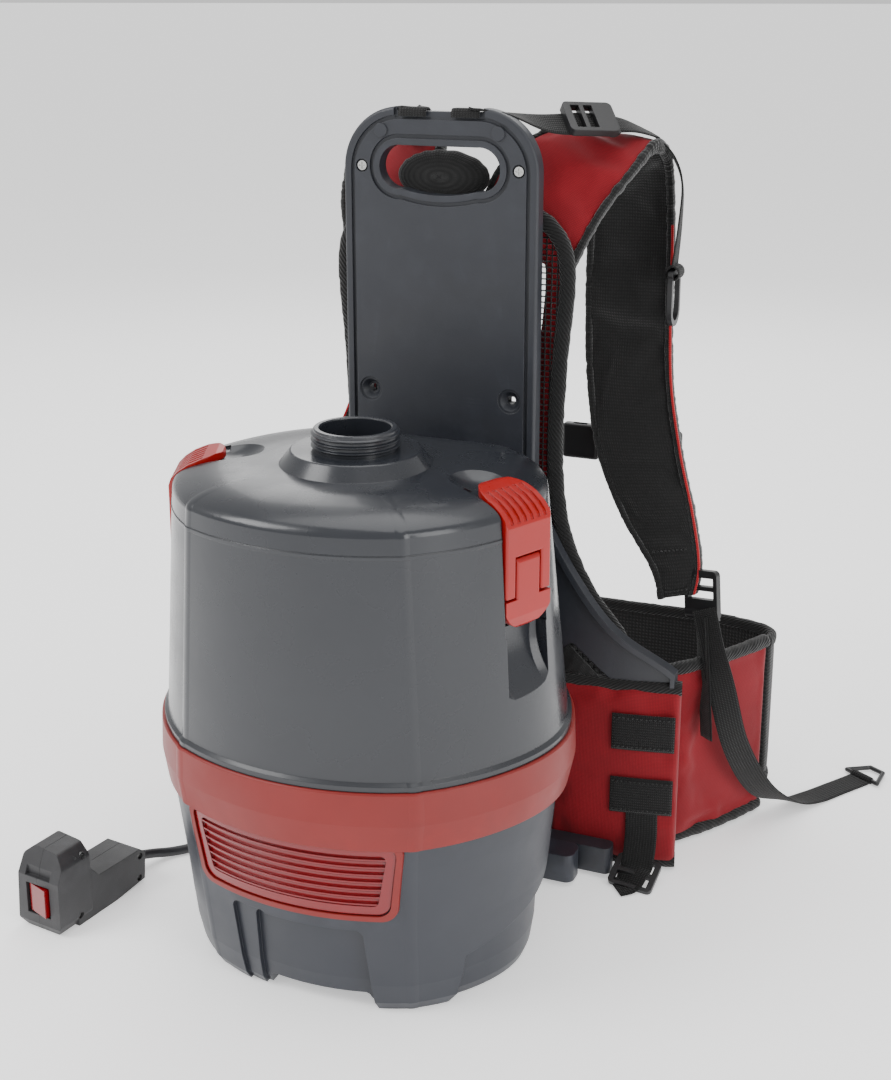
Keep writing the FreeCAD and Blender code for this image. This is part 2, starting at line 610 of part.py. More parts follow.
def hip_frame():
    face, rim = wing_outline()
    right = face.extrude(V(0, 110, 0)).common(box(0, 230, 90, 220, 0, 330))
    sheet = flared(PLATE_FRONT + 12.2, PLATE_FRONT + 17.2, 206, 18, 0, 330)
    right = right.cut(box(187.5, 240, 80, 230, -10, 340))
    half = right.common(sheet)
    # A rolled edge runs along the top of the wing.
    edge = right.cut(moved(right, V(-3.5, 0, -3.5)))
    edge = edge.common(flared(PLATE_FRONT + 8, PLATE_FRONT + 18.5, 206, 18, 0, 330))
    edge = edge.common(box(80, 230, 90, 220, 150, 312))
    slot = front_prism([(101, 182), (107, 186), (140, 157), (134, 151)], 120, 200)
    slot = soften(slot, 2.5, along_y)
    half = fuse([half] + [s for s in edge.Solids if s.Volume > 50]).cut(slot)
    bar = soften(box(-149, 149, 136, 151, 4, 26), 5, along_z)
    trough = box(-136, 136, 139, 152, 8, 22)
    spine = box(-84, 84, 151 - 0.01, PLATE_FRONT + 17.2, 4, 60)
    bar = cut(bar, [trough.cut(box(-112, -88, 130, 160, 0, 40)).cut(box(88, 112, 130, 160, 0, 40))])
    foot = box(-84, 84, 136, PLATE_FRONT + 17.2, 4, 8)
    whole = fuse([half, mirrored(half), bar, foot, spine.common(sheet_zone())])
    windows = [soften(box(x - 16, x + 16, 140, 200, 70, 180), 8, along_y) for x in (-40, 0, 40)]
    whole = cut(whole, windows)
    return whole.cut(bolt_holes())


def sheet_zone():
    return box(-84, 84, PLATE_FRONT + 12.2, PLATE_FRONT + 17.2, 4, 60)


# ---------------------------------------------------------------- harness

def pad_outline(inset):
    """Back pad seen from behind: round shoulders, a waist and broad hips."""
    right = [(60, 527), (88, 508), (98, 470), (93, 400), (91, 330), (98, 272), (118, 224), (144, 186),
             (160, 148),
             (162, 96), (146, 52)]
    curve = Part.BSplineCurve()
    curve.interpolate([V(x - inset, 100, z - (inset if z > 500 else 0) + (inset if z < 60 else 0))
                       for x, z in right])
    edge = curve.toShape()
    top = Part.LineSegment(V(-60 + inset, 100, 527 - inset), V(60 - inset, 100, 527 - inset)).toShape()
    foot = Part.LineSegment(V(146 - inset, 100, 52 + inset), V(-146 + inset, 100, 52 + inset)).toShape()
    wire = Part.Wire([top, edge, foot, mirrored(edge)])
    return Part.Face(wire).extrude(V(0, 160, 0))


def back_pad():
    return pad_outline(BINDING - 3).common(flared(PAD_Y + 2, PAD_Y + 2 + PAD_THICK, 168, 20, 0, 560))


def pad_binding():
    """Bound edge of the pad, with the gathered roll on top that sits behind the carrying handle."""
    ring = pad_outline(0).cut(pad_outline(BINDING - 3))
    ring = ring.common(flared(PAD_Y, PAD_Y + 9, 168, 20, 0, 560))
    return fuse([ring, neck_roll()])


def neck_roll():
    """Gathered roll of padding on top of the back pad, behind the carrying handle."""
    shape = FreeCAD.Matrix()
    shape.scale(38, 9, 20)
    return moved(Part.makeSphere(1).transformGeometry(shape), V(-6, PAD_Y - 1, 540))


def ribbon(stations, thick):
    """Flat strap through (left edge, right edge) pairs, thick across its face."""
    mids = [(a + b) * 0.5 for a, b in stations]
    sections = []
    for k, (a, b) in enumerate(stations):
        run = mids[min(k + 1, len(mids) - 1)] - mids[max(k - 1, 0)]
        across = (b - a).normalize()
        out = run.cross(across).normalize() * (thick / 2)
        sections.append(polygon([a + out, b + out, b - out, a - out]))
    return Part.makeLoft(sections, True, True)


def centred(points, width, across):
    """Stations of a strap of even width from its centre line and the way its width lies at each point."""
    sides = [V(v).normalize() * (width / 2) for v in across]
    return [(p - w, p + w) for p, w in zip(points, sides)]


STRAP = [(V(18, 184, 500), V(88, 184, 468)), (V(28, 192, 538), V(108, 196, 512)),
         (V(48, 206, 563), V(128, 213, 544)), (V(70, 228, 571), V(140, 232, 562)),
         (V(80, 252, 556), V(144, 256, 548)), (V(80, 268, 500), V(144, 272, 500)),
         (V(78, 276, 430), V(143, 280, 430)), (V(80, 278, 370), V(146, 280, 370)),
         (V(92, 270, 312), V(158, 271, 316)), (V(118, 258, 262), V(174, 257, 270)),
         (V(148, 246, 224), V(184, 245, 233)), (V(156, 243, 200), V(182, 242, 208))]
# The left strap has slumped towards the middle of the machine.
SLUMP = [0, 8, 26, 38, 38, 32, 26, 22, 20, 10, 2, 0]


def shoulder_strap(side):
    if side > 0:
        return ribbon(STRAP, 11.0)
    fallen = [(V(slump - a.x, a.y, a.z), V(slump - b.x, b.y, b.z)) for (a, b), slump in zip(STRAP, SLUMP)]
    return ribbon(fallen, 11.0)


LIFTER = {1: [V(21, 153, 590.8), V(42, 162, 588.5), V(70, 184, 580), V(96.5, 206, 579), V(118, 228, 577),
              V(136, 244, 569)],
          -1: [V(-21, 153, 590.8), V(-27, 164, 588), V(-35, 188, 578), V(-48, 208, 573), V(-66, 230, 577),
               V(-80, 243, 573)]}
LIFTER_ACROSS = [V(1, 0, 0), V(0.9, -0.3, -0.1), V(0.7, -0.4, -0.5), V(0.72, -0.3, -0.6),
                 V(0.72, -0.5, -0.4),
                 V(0.7, -0.65, -0.2)]
TAIL = {1: [V(137, 244.6, 568), V(149, 250, 554), V(156, 254, 533), V(155, 256.5, 502), V(152, 257, 470)],
        -1: [V(-81, 243, 573.5), V(-97, 247, 561), V(-115, 249, 540), V(-124, 254, 508), V(-126, 257, 470)]}
TAIL_ACROSS = [V(0.6, -0.75, -0.2), V(0.45, -0.85, -0.15), V(0.25, -0.95, 0), V(0.1, -1, 0),
               V(0, -1, 0)]
RING_AT = {1: V(152, 257, 464), -1: V(-126, 257, 464)}


def sided(directions, side):
    return [V(side * v.x, v.y, v.z) for v in directions]


def load_webbing():
    """Webbing from the notch in the top of the plate over each shoulder strap."""
    straps = []
    for s in (1, -1):
        strap = ribbon(centred(LIFTER[s], WEB_WIDE, sided(LIFTER_ACROSS, s)), WEB_THICK)
        tab = box(10, 32, PLATE_FRONT - 0.4, PLATE_FRONT + 1.2, PLATE_TOP - 7, PLATE_TOP - 0.4)
        tab = tab.fuse(box(10, 32, PLATE_FRONT - 0.4, PLATE_FRONT + 6.5, PLATE_TOP - 2, PLATE_TOP - 0.4))
        straps.append(fuse([strap, tab if s > 0 else mirrored(tab)]))
    return Part.makeCompound(straps)


def lifter_tails():
    tails = []
    for s in (1, -1):
        tail = ribbon(centred(TAIL[s], 18, sided(TAIL_ACROSS, s)), WEB_THICK)
        axis = V(0, 1, 0)
        near, far = RING_AT[s] - axis * 8, RING_AT[s] + axis * 8
        tails.append(fuse([tail, rod(6.4, near, far).cut(rod(4.6, near - axis, far + axis))]))
    return Part.makeCompound(tails)


def oval_ring(side):
    """Closed oval eye that hangs from the end of a lifter tail."""
    bar = 2.0
    outer = soften(box(-13, 13, -bar, bar, -42, 4), 12.5, along_y)
    inner = soften(box(-9, 9, -bar - 1, bar + 1, -37.5, -1.5), 8.8, along_y)
    ring = outer.cut(inner)
    rest = soften(box(-13, 13, -bar, bar, -3, 2.2), 2.0, along_y)
    ring = fuse([ring, rest]).cut(box(-9, 9, -5, 5, -10, -1.8))
    return moved(turned(ring, 90), RING_AT[side])


def laid(shape, at, direction, across):
    """Put a flat piece down at a point, its length along one direction and its width near another."""
    x = V(direction).normalize()
    z = x.cross(across).normalize()
    y = z.cross(x)
    placed = shape.copy()
    placed.Placement = FreeCAD.Placement(FreeCAD.Matrix(x.x, y.x, z.x, at.x, x.y, y.y, z.y, at.y,
                                                        x.z, y.z, z.z, at.z, 0, 0, 0, 1))
    return placed


def ladder_lock(at, direction, across):
    """Two-bar buckle with a curved thumb plate, lying along `direction`."""
    frame = box(-20, 20, -15, 15, -3, 3)
    frame = soften(frame, 4, along_z)
    frame = cut(frame, [box(-14, -7, -11.6, 11.6, -4, 4), box(-3.5, 3.5, -11.6, 11.6, -4, 4)])
    lip = Part.makeCylinder(5.4, 30, V(15, -15, -1.6), V(0, 1, 0)).common(box(9, 26, -16, 16, -1.5, 8))
    frame = fuse([frame, lip])
    return laid(frame, at, direction, across)


def triglide(at, direction, across, long=26.0, wide=30.0, slot=11.6):
    frame = soften(box(-long / 2, long / 2, -wide / 2, wide / 2, -1.8, 1.8), 4, along_z)
    gap = long / 2 - 5.5
    frame = cut(frame, [box(2, 2 + gap, -slot, slot, -3, 3), box(-2 - gap, -2, -slot, slot, -3, 3)])
    return laid(frame, at, direction, across)


def wall(points, thick, z0, z1):
    """Upright band of even thickness along a smooth line in plan."""
    mid = Part.BSplineCurve()
    mid.interpolate([V(x, y, z0) for x, y in points])
    sides = ([], [])
    steps = 2 * (len(points) - 1)
    for k in range(steps + 1):
        t = mid.FirstParameter + (mid.LastParameter - mid.FirstParameter) * k / steps
        tangent = mid.tangent(t)[0]
        normal = V(-tangent.y, tangent.x, 0) * (thick / 2)
        sides[0].append(mid.value(t) + normal)
        sides[1].append(mid.value(t) - normal)
    curves = []
    for side in sides:
        curve = Part.BSplineCurve()
        curve.interpolate(side)
        curves.append(curve.toShape())
    ends = [Part.LineSegment(sides[0][k], sides[1][k]).toShape() for k in (0, -1)]
    wire = Part.Wire(Part.__sortEdges__(curves + ends))
    return Part.Face(wire).extrude(V(0, 0, z1 - z0))


def belt_sleeve():
    """Padded sleeve that the tip of the hip wing slides into."""
    block = box(93, 192, 120, 230, BELT_LOW, BELT_HIGH)
    cover = block.common(flared(PLATE_FRONT + 5, PLATE_FRONT + 23, 206, 18, 0, 200))
    pocket = flared(PLATE_FRONT + 11.7, PLATE_FRONT + 17.7, 206, 18, 0, 200)
    room = front_prism([(90, 40), (188.5, 74), (188.5, 170), (90, 170)], 120, 230)
    hang = box(90, 152, 120, 155.5, 0, 30)
    return cut(cover, [pocket.common(room), hang])


HIP = [(160, 197), (180, 213), (203, 245), (220, 274), (231, 297)]
CLOSURE = [(232, 302), (233, 318), (218, 331), (170, 340), (110, 338), (0, 336), (-110, 338), (-170, 340),
           (-218, 331),
           (-233, 318), (-232, 302)]


def hip_panel():
    return wall(HIP, 8.0, BELT_LOW, BELT_HIGH)


def belt_closure():
    return wall(CLOSURE, 5.0, 22.0, BELT_HIGH - 3)


def sleeve_face(x):
    """Front of the belt sleeve at a distance from the middle."""
    share = max(0.0, x - FLARE_FROM) / (206 - FLARE_FROM)
    return PLATE_FRONT + 5 + 18 * share * share


def belt_loops():
    loops = []
    for low, high in ((105, 135), (51, 81)):
        y = sleeve_face(168)
        loops.append(turned(box(144, 192, y - 4.5, y - 2.9, low, high), 10.5, V(168, y, 0)))
    return pair(Part.makeCompound(loops))


def wing_webbing():
    """Webbing that comes out of the slot in the hip wing and runs down into the sleeve."""
    sheet = flared(PLATE_FRONT + 10.4, PLATE_FRONT + 12, 206, 18, 0, 330)
    return front_prism([(104, 184), (129, 160), (88, 160), (86, 164)], 120, 230).common(sheet)


def belt_webbing():
    """Two stitched bands across the sleeve and the strap end that hangs out from under them."""
    y = sleeve_face(165)
    points = [V(168, y - 1.4, 80), V(168, y - 1.4, 50), V(168.5, y - 3.2, 34), V(169, 151.5, 22),
              V(169, 145.5, 12)]
    strap = ribbon(centred(points, 25, [V(1, 0.19, 0)] * 5), WEB_THICK)
    return Part.makeCompound([pair(strap), belt_loops(), pair(wing_webbing())])


def triglides():
    y = sleeve_face(165)
    belt = triglide(V(169, 140, 8), V(-0.08, -0.92, -0.38), V(0.96, -0.2, -0.1), 30, 36, 13.4)
    chest = triglide(V(149, 287, 314), V(1, 0, 0), V(0, 0, 1), 14.0, 30.0)
    return Part.makeCompound([pair(belt), chest, moved(mirrored(chest), V(CHEST_END, 0, 0))])


CHEST_Z = 314.0
CHEST_END = 20.0          # the left end of the chest strap sits this much nearer the middle
CHEST_Y = 282.5
SOCKET = (56.0, 88.0)


def chest_webbing():
    low, high = CHEST_Z - 10, CHEST_Z + 10
    right = box(SOCKET[1] + 0.2, 150, CHEST_Y - 0.8, CHEST_Y + 0.8, low, high)
    left = box(CHEST_END - 150, 31, CHEST_Y - 0.8, CHEST_Y + 0.8, low, high)
    return Part.makeCompound([right, left])


def chest_buckle_socket():
    x0, x1 = SOCKET
    body = soften(box(x0, x1, CHEST_Y - 5, CHEST_Y + 5, CHEST_Z - 15, CHEST_Z + 15), 3.5, lambda e: True)
    cavity = box(x0 - 1, x1 - 8, CHEST_Y - 2.6, CHEST_Y + 2.6, CHEST_Z - 11.4, CHEST_Z + 11.4)
    windows = [box(x0 + 9, x1 - 11, CHEST_Y - 2.6, CHEST_Y + 2.6, CHEST_Z + s * 14 - 4, CHEST_Z + s * 14 + 4)
               for s in (-1, 1)]
    return cut(body, [cavity] + windows)


def chest_buckle_tongue():
    x0 = SOCKET[0]
    head = box(x0 - 26, x0 - 0.4, CHEST_Y - 4.5, CHEST_Y + 4.5, CHEST_Z - 15, CHEST_Z + 15)
    head = soften(head, 3.5, lambda e: True)
    head = head.cut(box(x0 - 30, x0 - 2.5, CHEST_Y - 1.3, CHEST_Y + 1.3, CHEST_Z - 10.6, CHEST_Z + 10.6))
    prongs = [box(x0 - 2, x0 + 21, CHEST_Y - 2.2, CHEST_Y + 2.2, CHEST_Z + s * 9 - 2, CHEST_Z + s * 9 + 2)
              for s in (-1, 1)]
    guide = box(x0 - 2, x0 + 18, CHEST_Y - 2.2, CHEST_Y + 2.2, CHEST_Z - 1.6, CHEST_Z + 1.6)
    return fuse([head, guide] + prongs)


LOCK_AT = V(190, 238, 210)
LOCK_ALONG = V(0.1, -0.12, -1)
LOCK_ACROSS = V(0.95, -0.3, 0.1)
ANCHOR = [V(190.8, 235.5, 192), V(197, 226, 150), V(203.5, 217, 96)]
FLOOR_TAIL = [V(193, 233.0, 200), V(203, 224, 172), V(213, 222, 138), V(224, 236, 84), V(240, 268, 34),
              V(258, 304, 9), V(273, 329, 2.6), V(290, 357, 1.4), V(306, 381.5, 1.4)]
FLOOR_ACROSS = [V(0.95, -0.3, 0.1), V(0.95, -0.3, 0.1), V(0.9, 0.2, 0.2), V(0.75, 0.4, 0.45),
                V(0.72, -0.1, 0.55),
                V(0.8, -0.45, 0.2), V(0.85, -0.53, 0), V(0.85, -0.53, 0), V(0.85, -0.53, 0)]
TRIANGLE_AT = V(307.6, 384.2, 3.1)


def ladder_locks():
    tops = [ladder_lock(LIFTER[s][3] + V(0, 0, 3.4), LIFTER[s][4] - LIFTER[s][2], sided(LIFTER_ACROSS, s)[3])
            for s in (1, -1)]
    low = ladder_lock(LOCK_AT, LOCK_ALONG, LOCK_ACROSS)
    return Part.makeCompound(tops + [pair(low)])


def strap_webbing():
    """Webbing from the foot of each shoulder strap through its buckle to the hip panel."""
    anchor = ribbon(centred(ANCHOR, WEB_WIDE, [V(0.6, -0.8, 0)] * 3), WEB_THICK)
    return pair(anchor)


def strap_tails():
    tail = ribbon(centred(FLOOR_TAIL, WEB_WIDE, FLOOR_ACROSS), WEB_THICK)
    axis = V(0.85, -0.53, 0).normalize()
    loop = rod(3.9, TRIANGLE_AT - axis * 11, TRIANGLE_AT + axis * 11)
    loop = loop.cut(rod(2.5, TRIANGLE_AT - axis * 12, TRIANGLE_AT + axis * 12))
    loop = loop.common(box(0, 400, 0, 500, 0.2, 20))
    return pair(fuse([tail, loop]))


def triangle_ring():
    """Three-sided wire ring that lies flat at the end of the strap tail."""
    bar = 2.0
    spread = [V(-17, 0, 0), V(17, 0, 0), V(7, 20, 0), V(-7, 20, 0)]
    parts = [rod(bar, a, b) for a, b in zip(spread, spread[1:] + spread[:1])]
    parts += [Part.makeSphere(bar, p) for p in spread]
    turn = math.degrees(math.atan2(-0.53, 0.85))
    return moved(turned(fuse(parts), turn), TRIANGLE_AT)


# ---------------------------------------------------------------- switch pod and its lead

def pod_place(shape):
    return moved(turned(shape, POD_TURN), POD_AT)


def pod_body():
    """Upright head with the rocker on its front, and a low arm that runs back to the lead."""
    head = front_prism([(0, 6), (6, 0), (38, 0), (42, 8), (42, 54), (34, 63), (12, 65), (3, 58)], 0, 34)
    head = soften(head, 5, along_y)
    rake = Part.Face(polygon([V(-5, -5, -5), V(-5, 6, -5), V(-5, -1, 8), V(-5, 0, 44), V(-5, 12, 70),
                              V(-5, -5, 70)]))
    head = head.cut(rake.extrude(V(60, 0, 0)))
    arm = Part.Face(polygon([V(8, 20, 0), V(8, 62, 0), V(8, 94, 3), V(8, 96, 25), V(8, 90, 30), V(8, 44, 31),
                             V(8, 36, 40), V(8, 20, 58)]))
    arm = arm.extrude(V(33, 0, 0))
    body = fuse([head, arm])
    return soften(body, 2.2, lambda e: e.Length > 12)


def pod_cavity():
    return fuse([box(5, 37, 8, 28, 8, 50), box(13, 36, 26, 86, 5, 24)])


def rocker_hole():
    return box(9.6, 32.4, -5, 9, 13.5, 38.5)


def pod_lead_hole():
    return rod(CABLE_R + 1.5, V(24, 84, 14), V(24, 100, 14))


def pod_half(side):
    body = pod_body().cut(pod_cavity())
    panel = box(9, 33, -5, 3.4, 44, 56)
    body = cut(body, [rocker_hole(), panel, pod_lead_hole()])
    slices = {"inner": box(-10, 21, -20, 120, -10, 90), "outer": box(21.15, 70, -20, 120, -10, 90)}
    half = body.common(slices[side])
    for x, y, z in POD_SCREWS:
        half = cut(half, [rod(2.6, V(x - 3.0, y, z), V(x + 8, y, z)), rod(1.4, V(x - 30, y, z), V(x, y, z))])
    return pod_place(half)


POD_SCREWS = [(40, 28, 55), (40, 22, 8), (40, 90, 24), (40, 88, 6)]


def pod_screws():
    screws = []
    for x, y, z in POD_SCREWS:
        head = rod(2.4, V(x - 2.8, y, z), V(x - 1.0, y, z))
        screws.append(fuse([head, rod(1.4, V(x - 22, y, z), V(x - 2.8, y, z))]))
    return pod_place(Part.makeCompound(screws))


ROCKER_X = (10.2, 31.8)
ROCKER_Z = (14.0, 38.0)
ROCKER_AXIS = V(21.0, 4.2, 26.0)


def rocker():
    """Rocker with two slightly tilted faces, which tips about an upright pin."""
    x0, x1 = ROCKER_X
    z0, z1 = ROCKER_Z
    z = z0 + 0.6
    top = Part.Face(polygon([V(x0 + 1.2, 1.6, z), V(21, -0.6, z), V(x1 - 1.6, -2.8, z), V(x1 - 0.8, 6, z),
                             V(x0 + 0.8, 6, z)]))
    body = top.extrude(V(0, 0, z1 - z0 - 1.2))
    hub = rod(1.5, V(ROCKER_AXIS.x, ROCKER_AXIS.y, z0 - 0.4), V(ROCKER_AXIS.x, ROCKER_AXIS.y, z1 + 0.4))
    return pod_place(fuse([body, hub]))


def switch_body():
    x0, x1 = ROCKER_X
    z0, z1 = ROCKER_Z
    case = box(x0 - 1.6, x1 + 1.6, 2.4, 24, z0 - 1.6, z1 + 1.6)
    well = box(x0 - 0.6, x1 + 0.6, 2, 14, z0 + 0.2, z1 - 0.2)
    pin = V(ROCKER_AXIS.x, ROCKER_AXIS.y, z0 - 1.0)
    pin = rod(1.5 + RUN, pin, pin + V(0, 0, z1 - z0 + 2))
    blades = [box(x - 1, x + 1, 24, 27.5, 22, 30) for x in (13, 21, 29)]
    return pod_place(fuse([cut(case, [well, pin])] + blades))


# The lead runs from the pod over the floor and hangs from its gland high on the side of the base.
ROUTE = [V(-202.2, 3.0, 14.0), V(-198.0, 19.7, 8.7), V(-188.9, 34.4, 3.9), V(-174.3, 49.5, 3.9),
         V(-164.3, 68.3, 9.1), V(-161.2, 87.6, 21.3), V(-160.3, 101.1, 39.9), V(-155.6, 107.4, 61.5),
         V(-144.0, 107.4, 82.5), V(-126.4, 100.0, 96.9), V(-109.6, 89.9, 101.1)]


def lead():
    """Round lead on straight runs joined by tangent arcs."""
    runs = [b - a for a, b in zip(ROUTE[:-1], ROUTE[1:])]
    edges = []
    start = ROUTE[0]
    for k in range(1, len(ROUTE) - 1):
        before, after = runs[k - 1], runs[k]
        turn = before.getAngle(after)
        short = min(before.Length, after.Length)
        radius = 0.45 * short / math.tan(turn / 2)
        setback = 0.45 * short
        a = ROUTE[k] - V(before).normalize() * setback
        b = ROUTE[k] + V(after).normalize() * setback
        inward = (V(after).normalize() - V(before).normalize()).normalize()
        centre = ROUTE[k] + inward * (radius / math.cos(turn / 2))
        middle = centre - inward * radius
        edges += [Part.LineSegment(start, a).toShape(), Part.Arc(a, middle, b).toShape()]
        start = b
        print("   lead bend %d: %.0f degrees, radius %.1f mm" % (k, math.degrees(turn), radius))
    edges.append(Part.LineSegment(start, ROUTE[-1]).toShape())
    path = Part.Wire(edges)
    section = Part.Wire([Part.Circle(ROUTE[0], runs[0], CABLE_R).toShape()])
    tube = path.makePipeShell([section], True, False, 2)
    section_area = math.pi * CABLE_R ** 2
    print("   lead %.0f mm long; volume over section %.1f mm" % (path.Length, tube.Volume / section_area))
    return tube


def strain_reliefs():
    """Tapered sleeves at the pod and at the base, each round the lead."""
    first = V(ROUTE[1] - ROUTE[0]).normalize()
    last = V(ROUTE[-2] - ROUTE[-1]).normalize()
    pod_end = Part.makeCone(CABLE_R + 2.3, CABLE_R + 1.2, 9, ROUTE[0] - first * 5, first)
    base_end = fuse([rod(GLAND_R, ROUTE[-1] - last * 6, ROUTE[-1] + last * 9),
                     Part.makeCone(GLAND_R, CABLE_R + 1.2, 12, ROUTE[-1] + last * 8.9, last)])
    bores = [rod(CABLE_R, ROUTE[0], ROUTE[0] + first * 20), rod(CABLE_R, ROUTE[-1], ROUTE[-1] + last * 30)]
    return Part.makeCompound([pod_end.cut(bores[0]), base_end.cut(bores[1])])


# ---------------------------------------------------------------- build

NODES = {
    "motor_base": motor_base, "ring_band": ring_band, "exhaust_grille": exhaust_grille,
    "exhaust_filter": exhaust_filter, "filter_chamber": filter_chamber, "lid": lid, "lid_seal": lid_seal,
    "hose_neck": hose_neck, "dust_bag": dust_bag, "bag_collar": bag_collar, "hepa_filter": hepa_filter,
    "filter_frame": filter_frame, "motor_housing": motor_housing, "motor_stator": motor_stator,
    "rotor_shaft": rotor_shaft, "impeller": impeller, "motor_bearings": motor_bearings,
    "motor_mount": motor_mount, "control_board": control_board,
    "latch_hook_right": latch_hook, "latch_lever_right": latch_lever,
    "hook_pin_right": lambda: pin_rod(HOOK_N, HOOK_Z, 20.8),
    "latch_hook_left": lambda: mirrored(latch_hook()), "latch_lever_left": lambda: mirrored(latch_lever()),
    "hook_pin_left": lambda: mirrored(pin_rod(HOOK_N, HOOK_Z, 20.8)),
    "latch_pins": lambda: pair(pin_rod(PIVOT_N, PIVOT_Z, 28)),
    "back_plate": back_plate, "hip_frame": hip_frame,
    "plate_screws": plate_screws, "frame_bolts": frame_bolts,
    "back_pad": back_pad, "pad_binding": pad_binding,
    "shoulder_strap_right": lambda: shoulder_strap(1), "shoulder_strap_left": lambda: shoulder_strap(-1),
    "load_webbing": load_webbing, "lifter_tails": lifter_tails,
    "oval_ring_right": lambda: oval_ring(1), "oval_ring_left": lambda: oval_ring(-1),
    "ladder_locks": ladder_locks, "triglides": triglides, "chest_webbing": chest_webbing,
    "chest_buckle_socket": chest_buckle_socket, "chest_buckle_tongue": chest_buckle_tongue,
    "belt_sleeve_right": belt_sleeve, "belt_sleeve_left": lambda: mirrored(belt_sleeve()),
    "hip_panel_right": hip_panel, "hip_panel_left": lambda: mirrored(hip_panel()),
    "belt_closure": belt_closure, "belt_webbing": belt_webbing,
    "strap_webbing": strap_webbing, "strap_tails": strap_tails,
    "triangle_ring_right": triangle_ring, "triangle_ring_left": lambda: mirrored(triangle_ring()),
    "pod_shell_outer": lambda: pod_half("outer"), "pod_shell_inner": lambda: pod_half("inner"),
    "pod_screws": pod_screws, "rocker": rocker, "switch_body": switch_body,
    "lead": lead, "strain_reliefs": strain_reliefs,
}

for node, make in NODES.items():
    save(node, make())
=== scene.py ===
import json
import math

import bpy
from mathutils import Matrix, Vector, noise


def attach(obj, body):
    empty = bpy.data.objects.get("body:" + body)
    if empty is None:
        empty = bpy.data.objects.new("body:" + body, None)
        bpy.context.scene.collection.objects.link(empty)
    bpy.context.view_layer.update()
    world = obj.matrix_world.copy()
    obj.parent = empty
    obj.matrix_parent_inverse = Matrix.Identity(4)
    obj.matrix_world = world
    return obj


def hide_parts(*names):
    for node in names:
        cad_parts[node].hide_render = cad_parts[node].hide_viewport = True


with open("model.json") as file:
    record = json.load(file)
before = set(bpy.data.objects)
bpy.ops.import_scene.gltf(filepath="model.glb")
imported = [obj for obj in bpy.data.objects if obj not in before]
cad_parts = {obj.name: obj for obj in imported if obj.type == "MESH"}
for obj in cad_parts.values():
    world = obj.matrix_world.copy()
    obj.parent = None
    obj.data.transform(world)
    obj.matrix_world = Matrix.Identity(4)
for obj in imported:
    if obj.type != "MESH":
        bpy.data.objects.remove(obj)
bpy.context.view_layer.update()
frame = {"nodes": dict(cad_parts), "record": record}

NODES = frame["nodes"]


def V(x, y, z):
    """A point given in millimetres."""
    return Vector((x, y, z)) * 0.001


# ---------------------------------------------------------------- camera and lead

camera = bpy.data.objects.new("camera", bpy.data.cameras.new("camera"))
bpy.context.collection.objects.link(camera)
camera.location = (0.46147, -0.95123, 0.66839)
camera.rotation_euler = (math.radians(74), 0, math.radians(22.553))
camera.data.sensor_width = 36
camera.data.lens = 53.45
camera.data.shift_y = -0.0761
bpy.context.scene.camera = camera

# The lead's route is the one that the CAD tube follows.
ROUTE = [V(-202.2, 3.0, 14.0), V(-198.0, 19.7, 8.7), V(-188.9, 34.4, 3.9), V(-174.3, 49.5, 3.9),
         V(-164.3, 68.3, 9.1), V(-161.2, 87.6, 21.3), V(-160.3, 101.1, 39.9), V(-155.6, 107.4, 61.5),
         V(-144.0, 107.4, 82.5), V(-126.4, 100.0, 96.9), V(-109.6, 89.9, 101.1)]
lead_curve = bpy.data.curves.new("switch_lead", "CURVE")
lead_curve.dimensions = "3D"
lead_curve.bevel_depth = 0.00375
lead_curve.bevel_resolution = 6
lead_curve.resolution_u = 12
lead_curve.use_fill_caps = True
spline = lead_curve.splines.new("NURBS")
spline.points.add(len(ROUTE) - 1)
for point, place in zip(spline.points, ROUTE):
    point.co = (*place, 1)
spline.order_u = 3
spline.use_endpoint_u = True
lead = bpy.data.objects.new("switch_lead", lead_curve)
bpy.context.collection.objects.link(lead)


# ---------------------------------------------------------------- materials

def add(tree, kind, inputs=(), **settings):
    node = tree.nodes.new("ShaderNode" + kind)
    for key, value in settings.items():
        setattr(node, key, value)
    for key, value in dict(inputs).items():
        if isinstance(value, bpy.types.NodeSocket):
            tree.links.new(value, node.inputs[key])
        else:
            node.inputs[key].default_value = value
    return node


def math_node(tree, operation, a, b=0.0):
    return add(tree, "Math", {0: a, 1: b}, operation=operation).outputs[0]


def ramp(tree, value, low, high, start=0.3, end=0.7):
    """Blend from colour or grey `low` to `high` as value goes from start to end."""
    node = add(tree, "ValToRGB", {"Fac": value})
    for stop, place, tone in zip(node.color_ramp.elements, (start, end), (low, high)):
        stop.position = place
        stop.color = (*tone, 1) if isinstance(tone, tuple) else (tone, tone, tone, 1)
    return node.outputs["Color"]


def shaded(colour, amount):
    return tuple(min(1.0, c * amount) for c in colour)


def new_material(name, **sockets):
    material = bpy.data.materials.new(name)
    material.use_nodes = True
    tree = material.node_tree
    shader = tree.nodes["Principled BSDF"]
    for key, value in sockets.items():
        shader.inputs[key.replace("_", " ")].default_value = value
    return material, tree, shader


def noise_at(tree, coordinates, scale, detail=4.0, roughness=0.55):
    return add(tree, "TexNoise", {"Vector": coordinates, "Scale": scale, "Detail": detail,
                                  "Roughness": roughness}).outputs["Fac"]


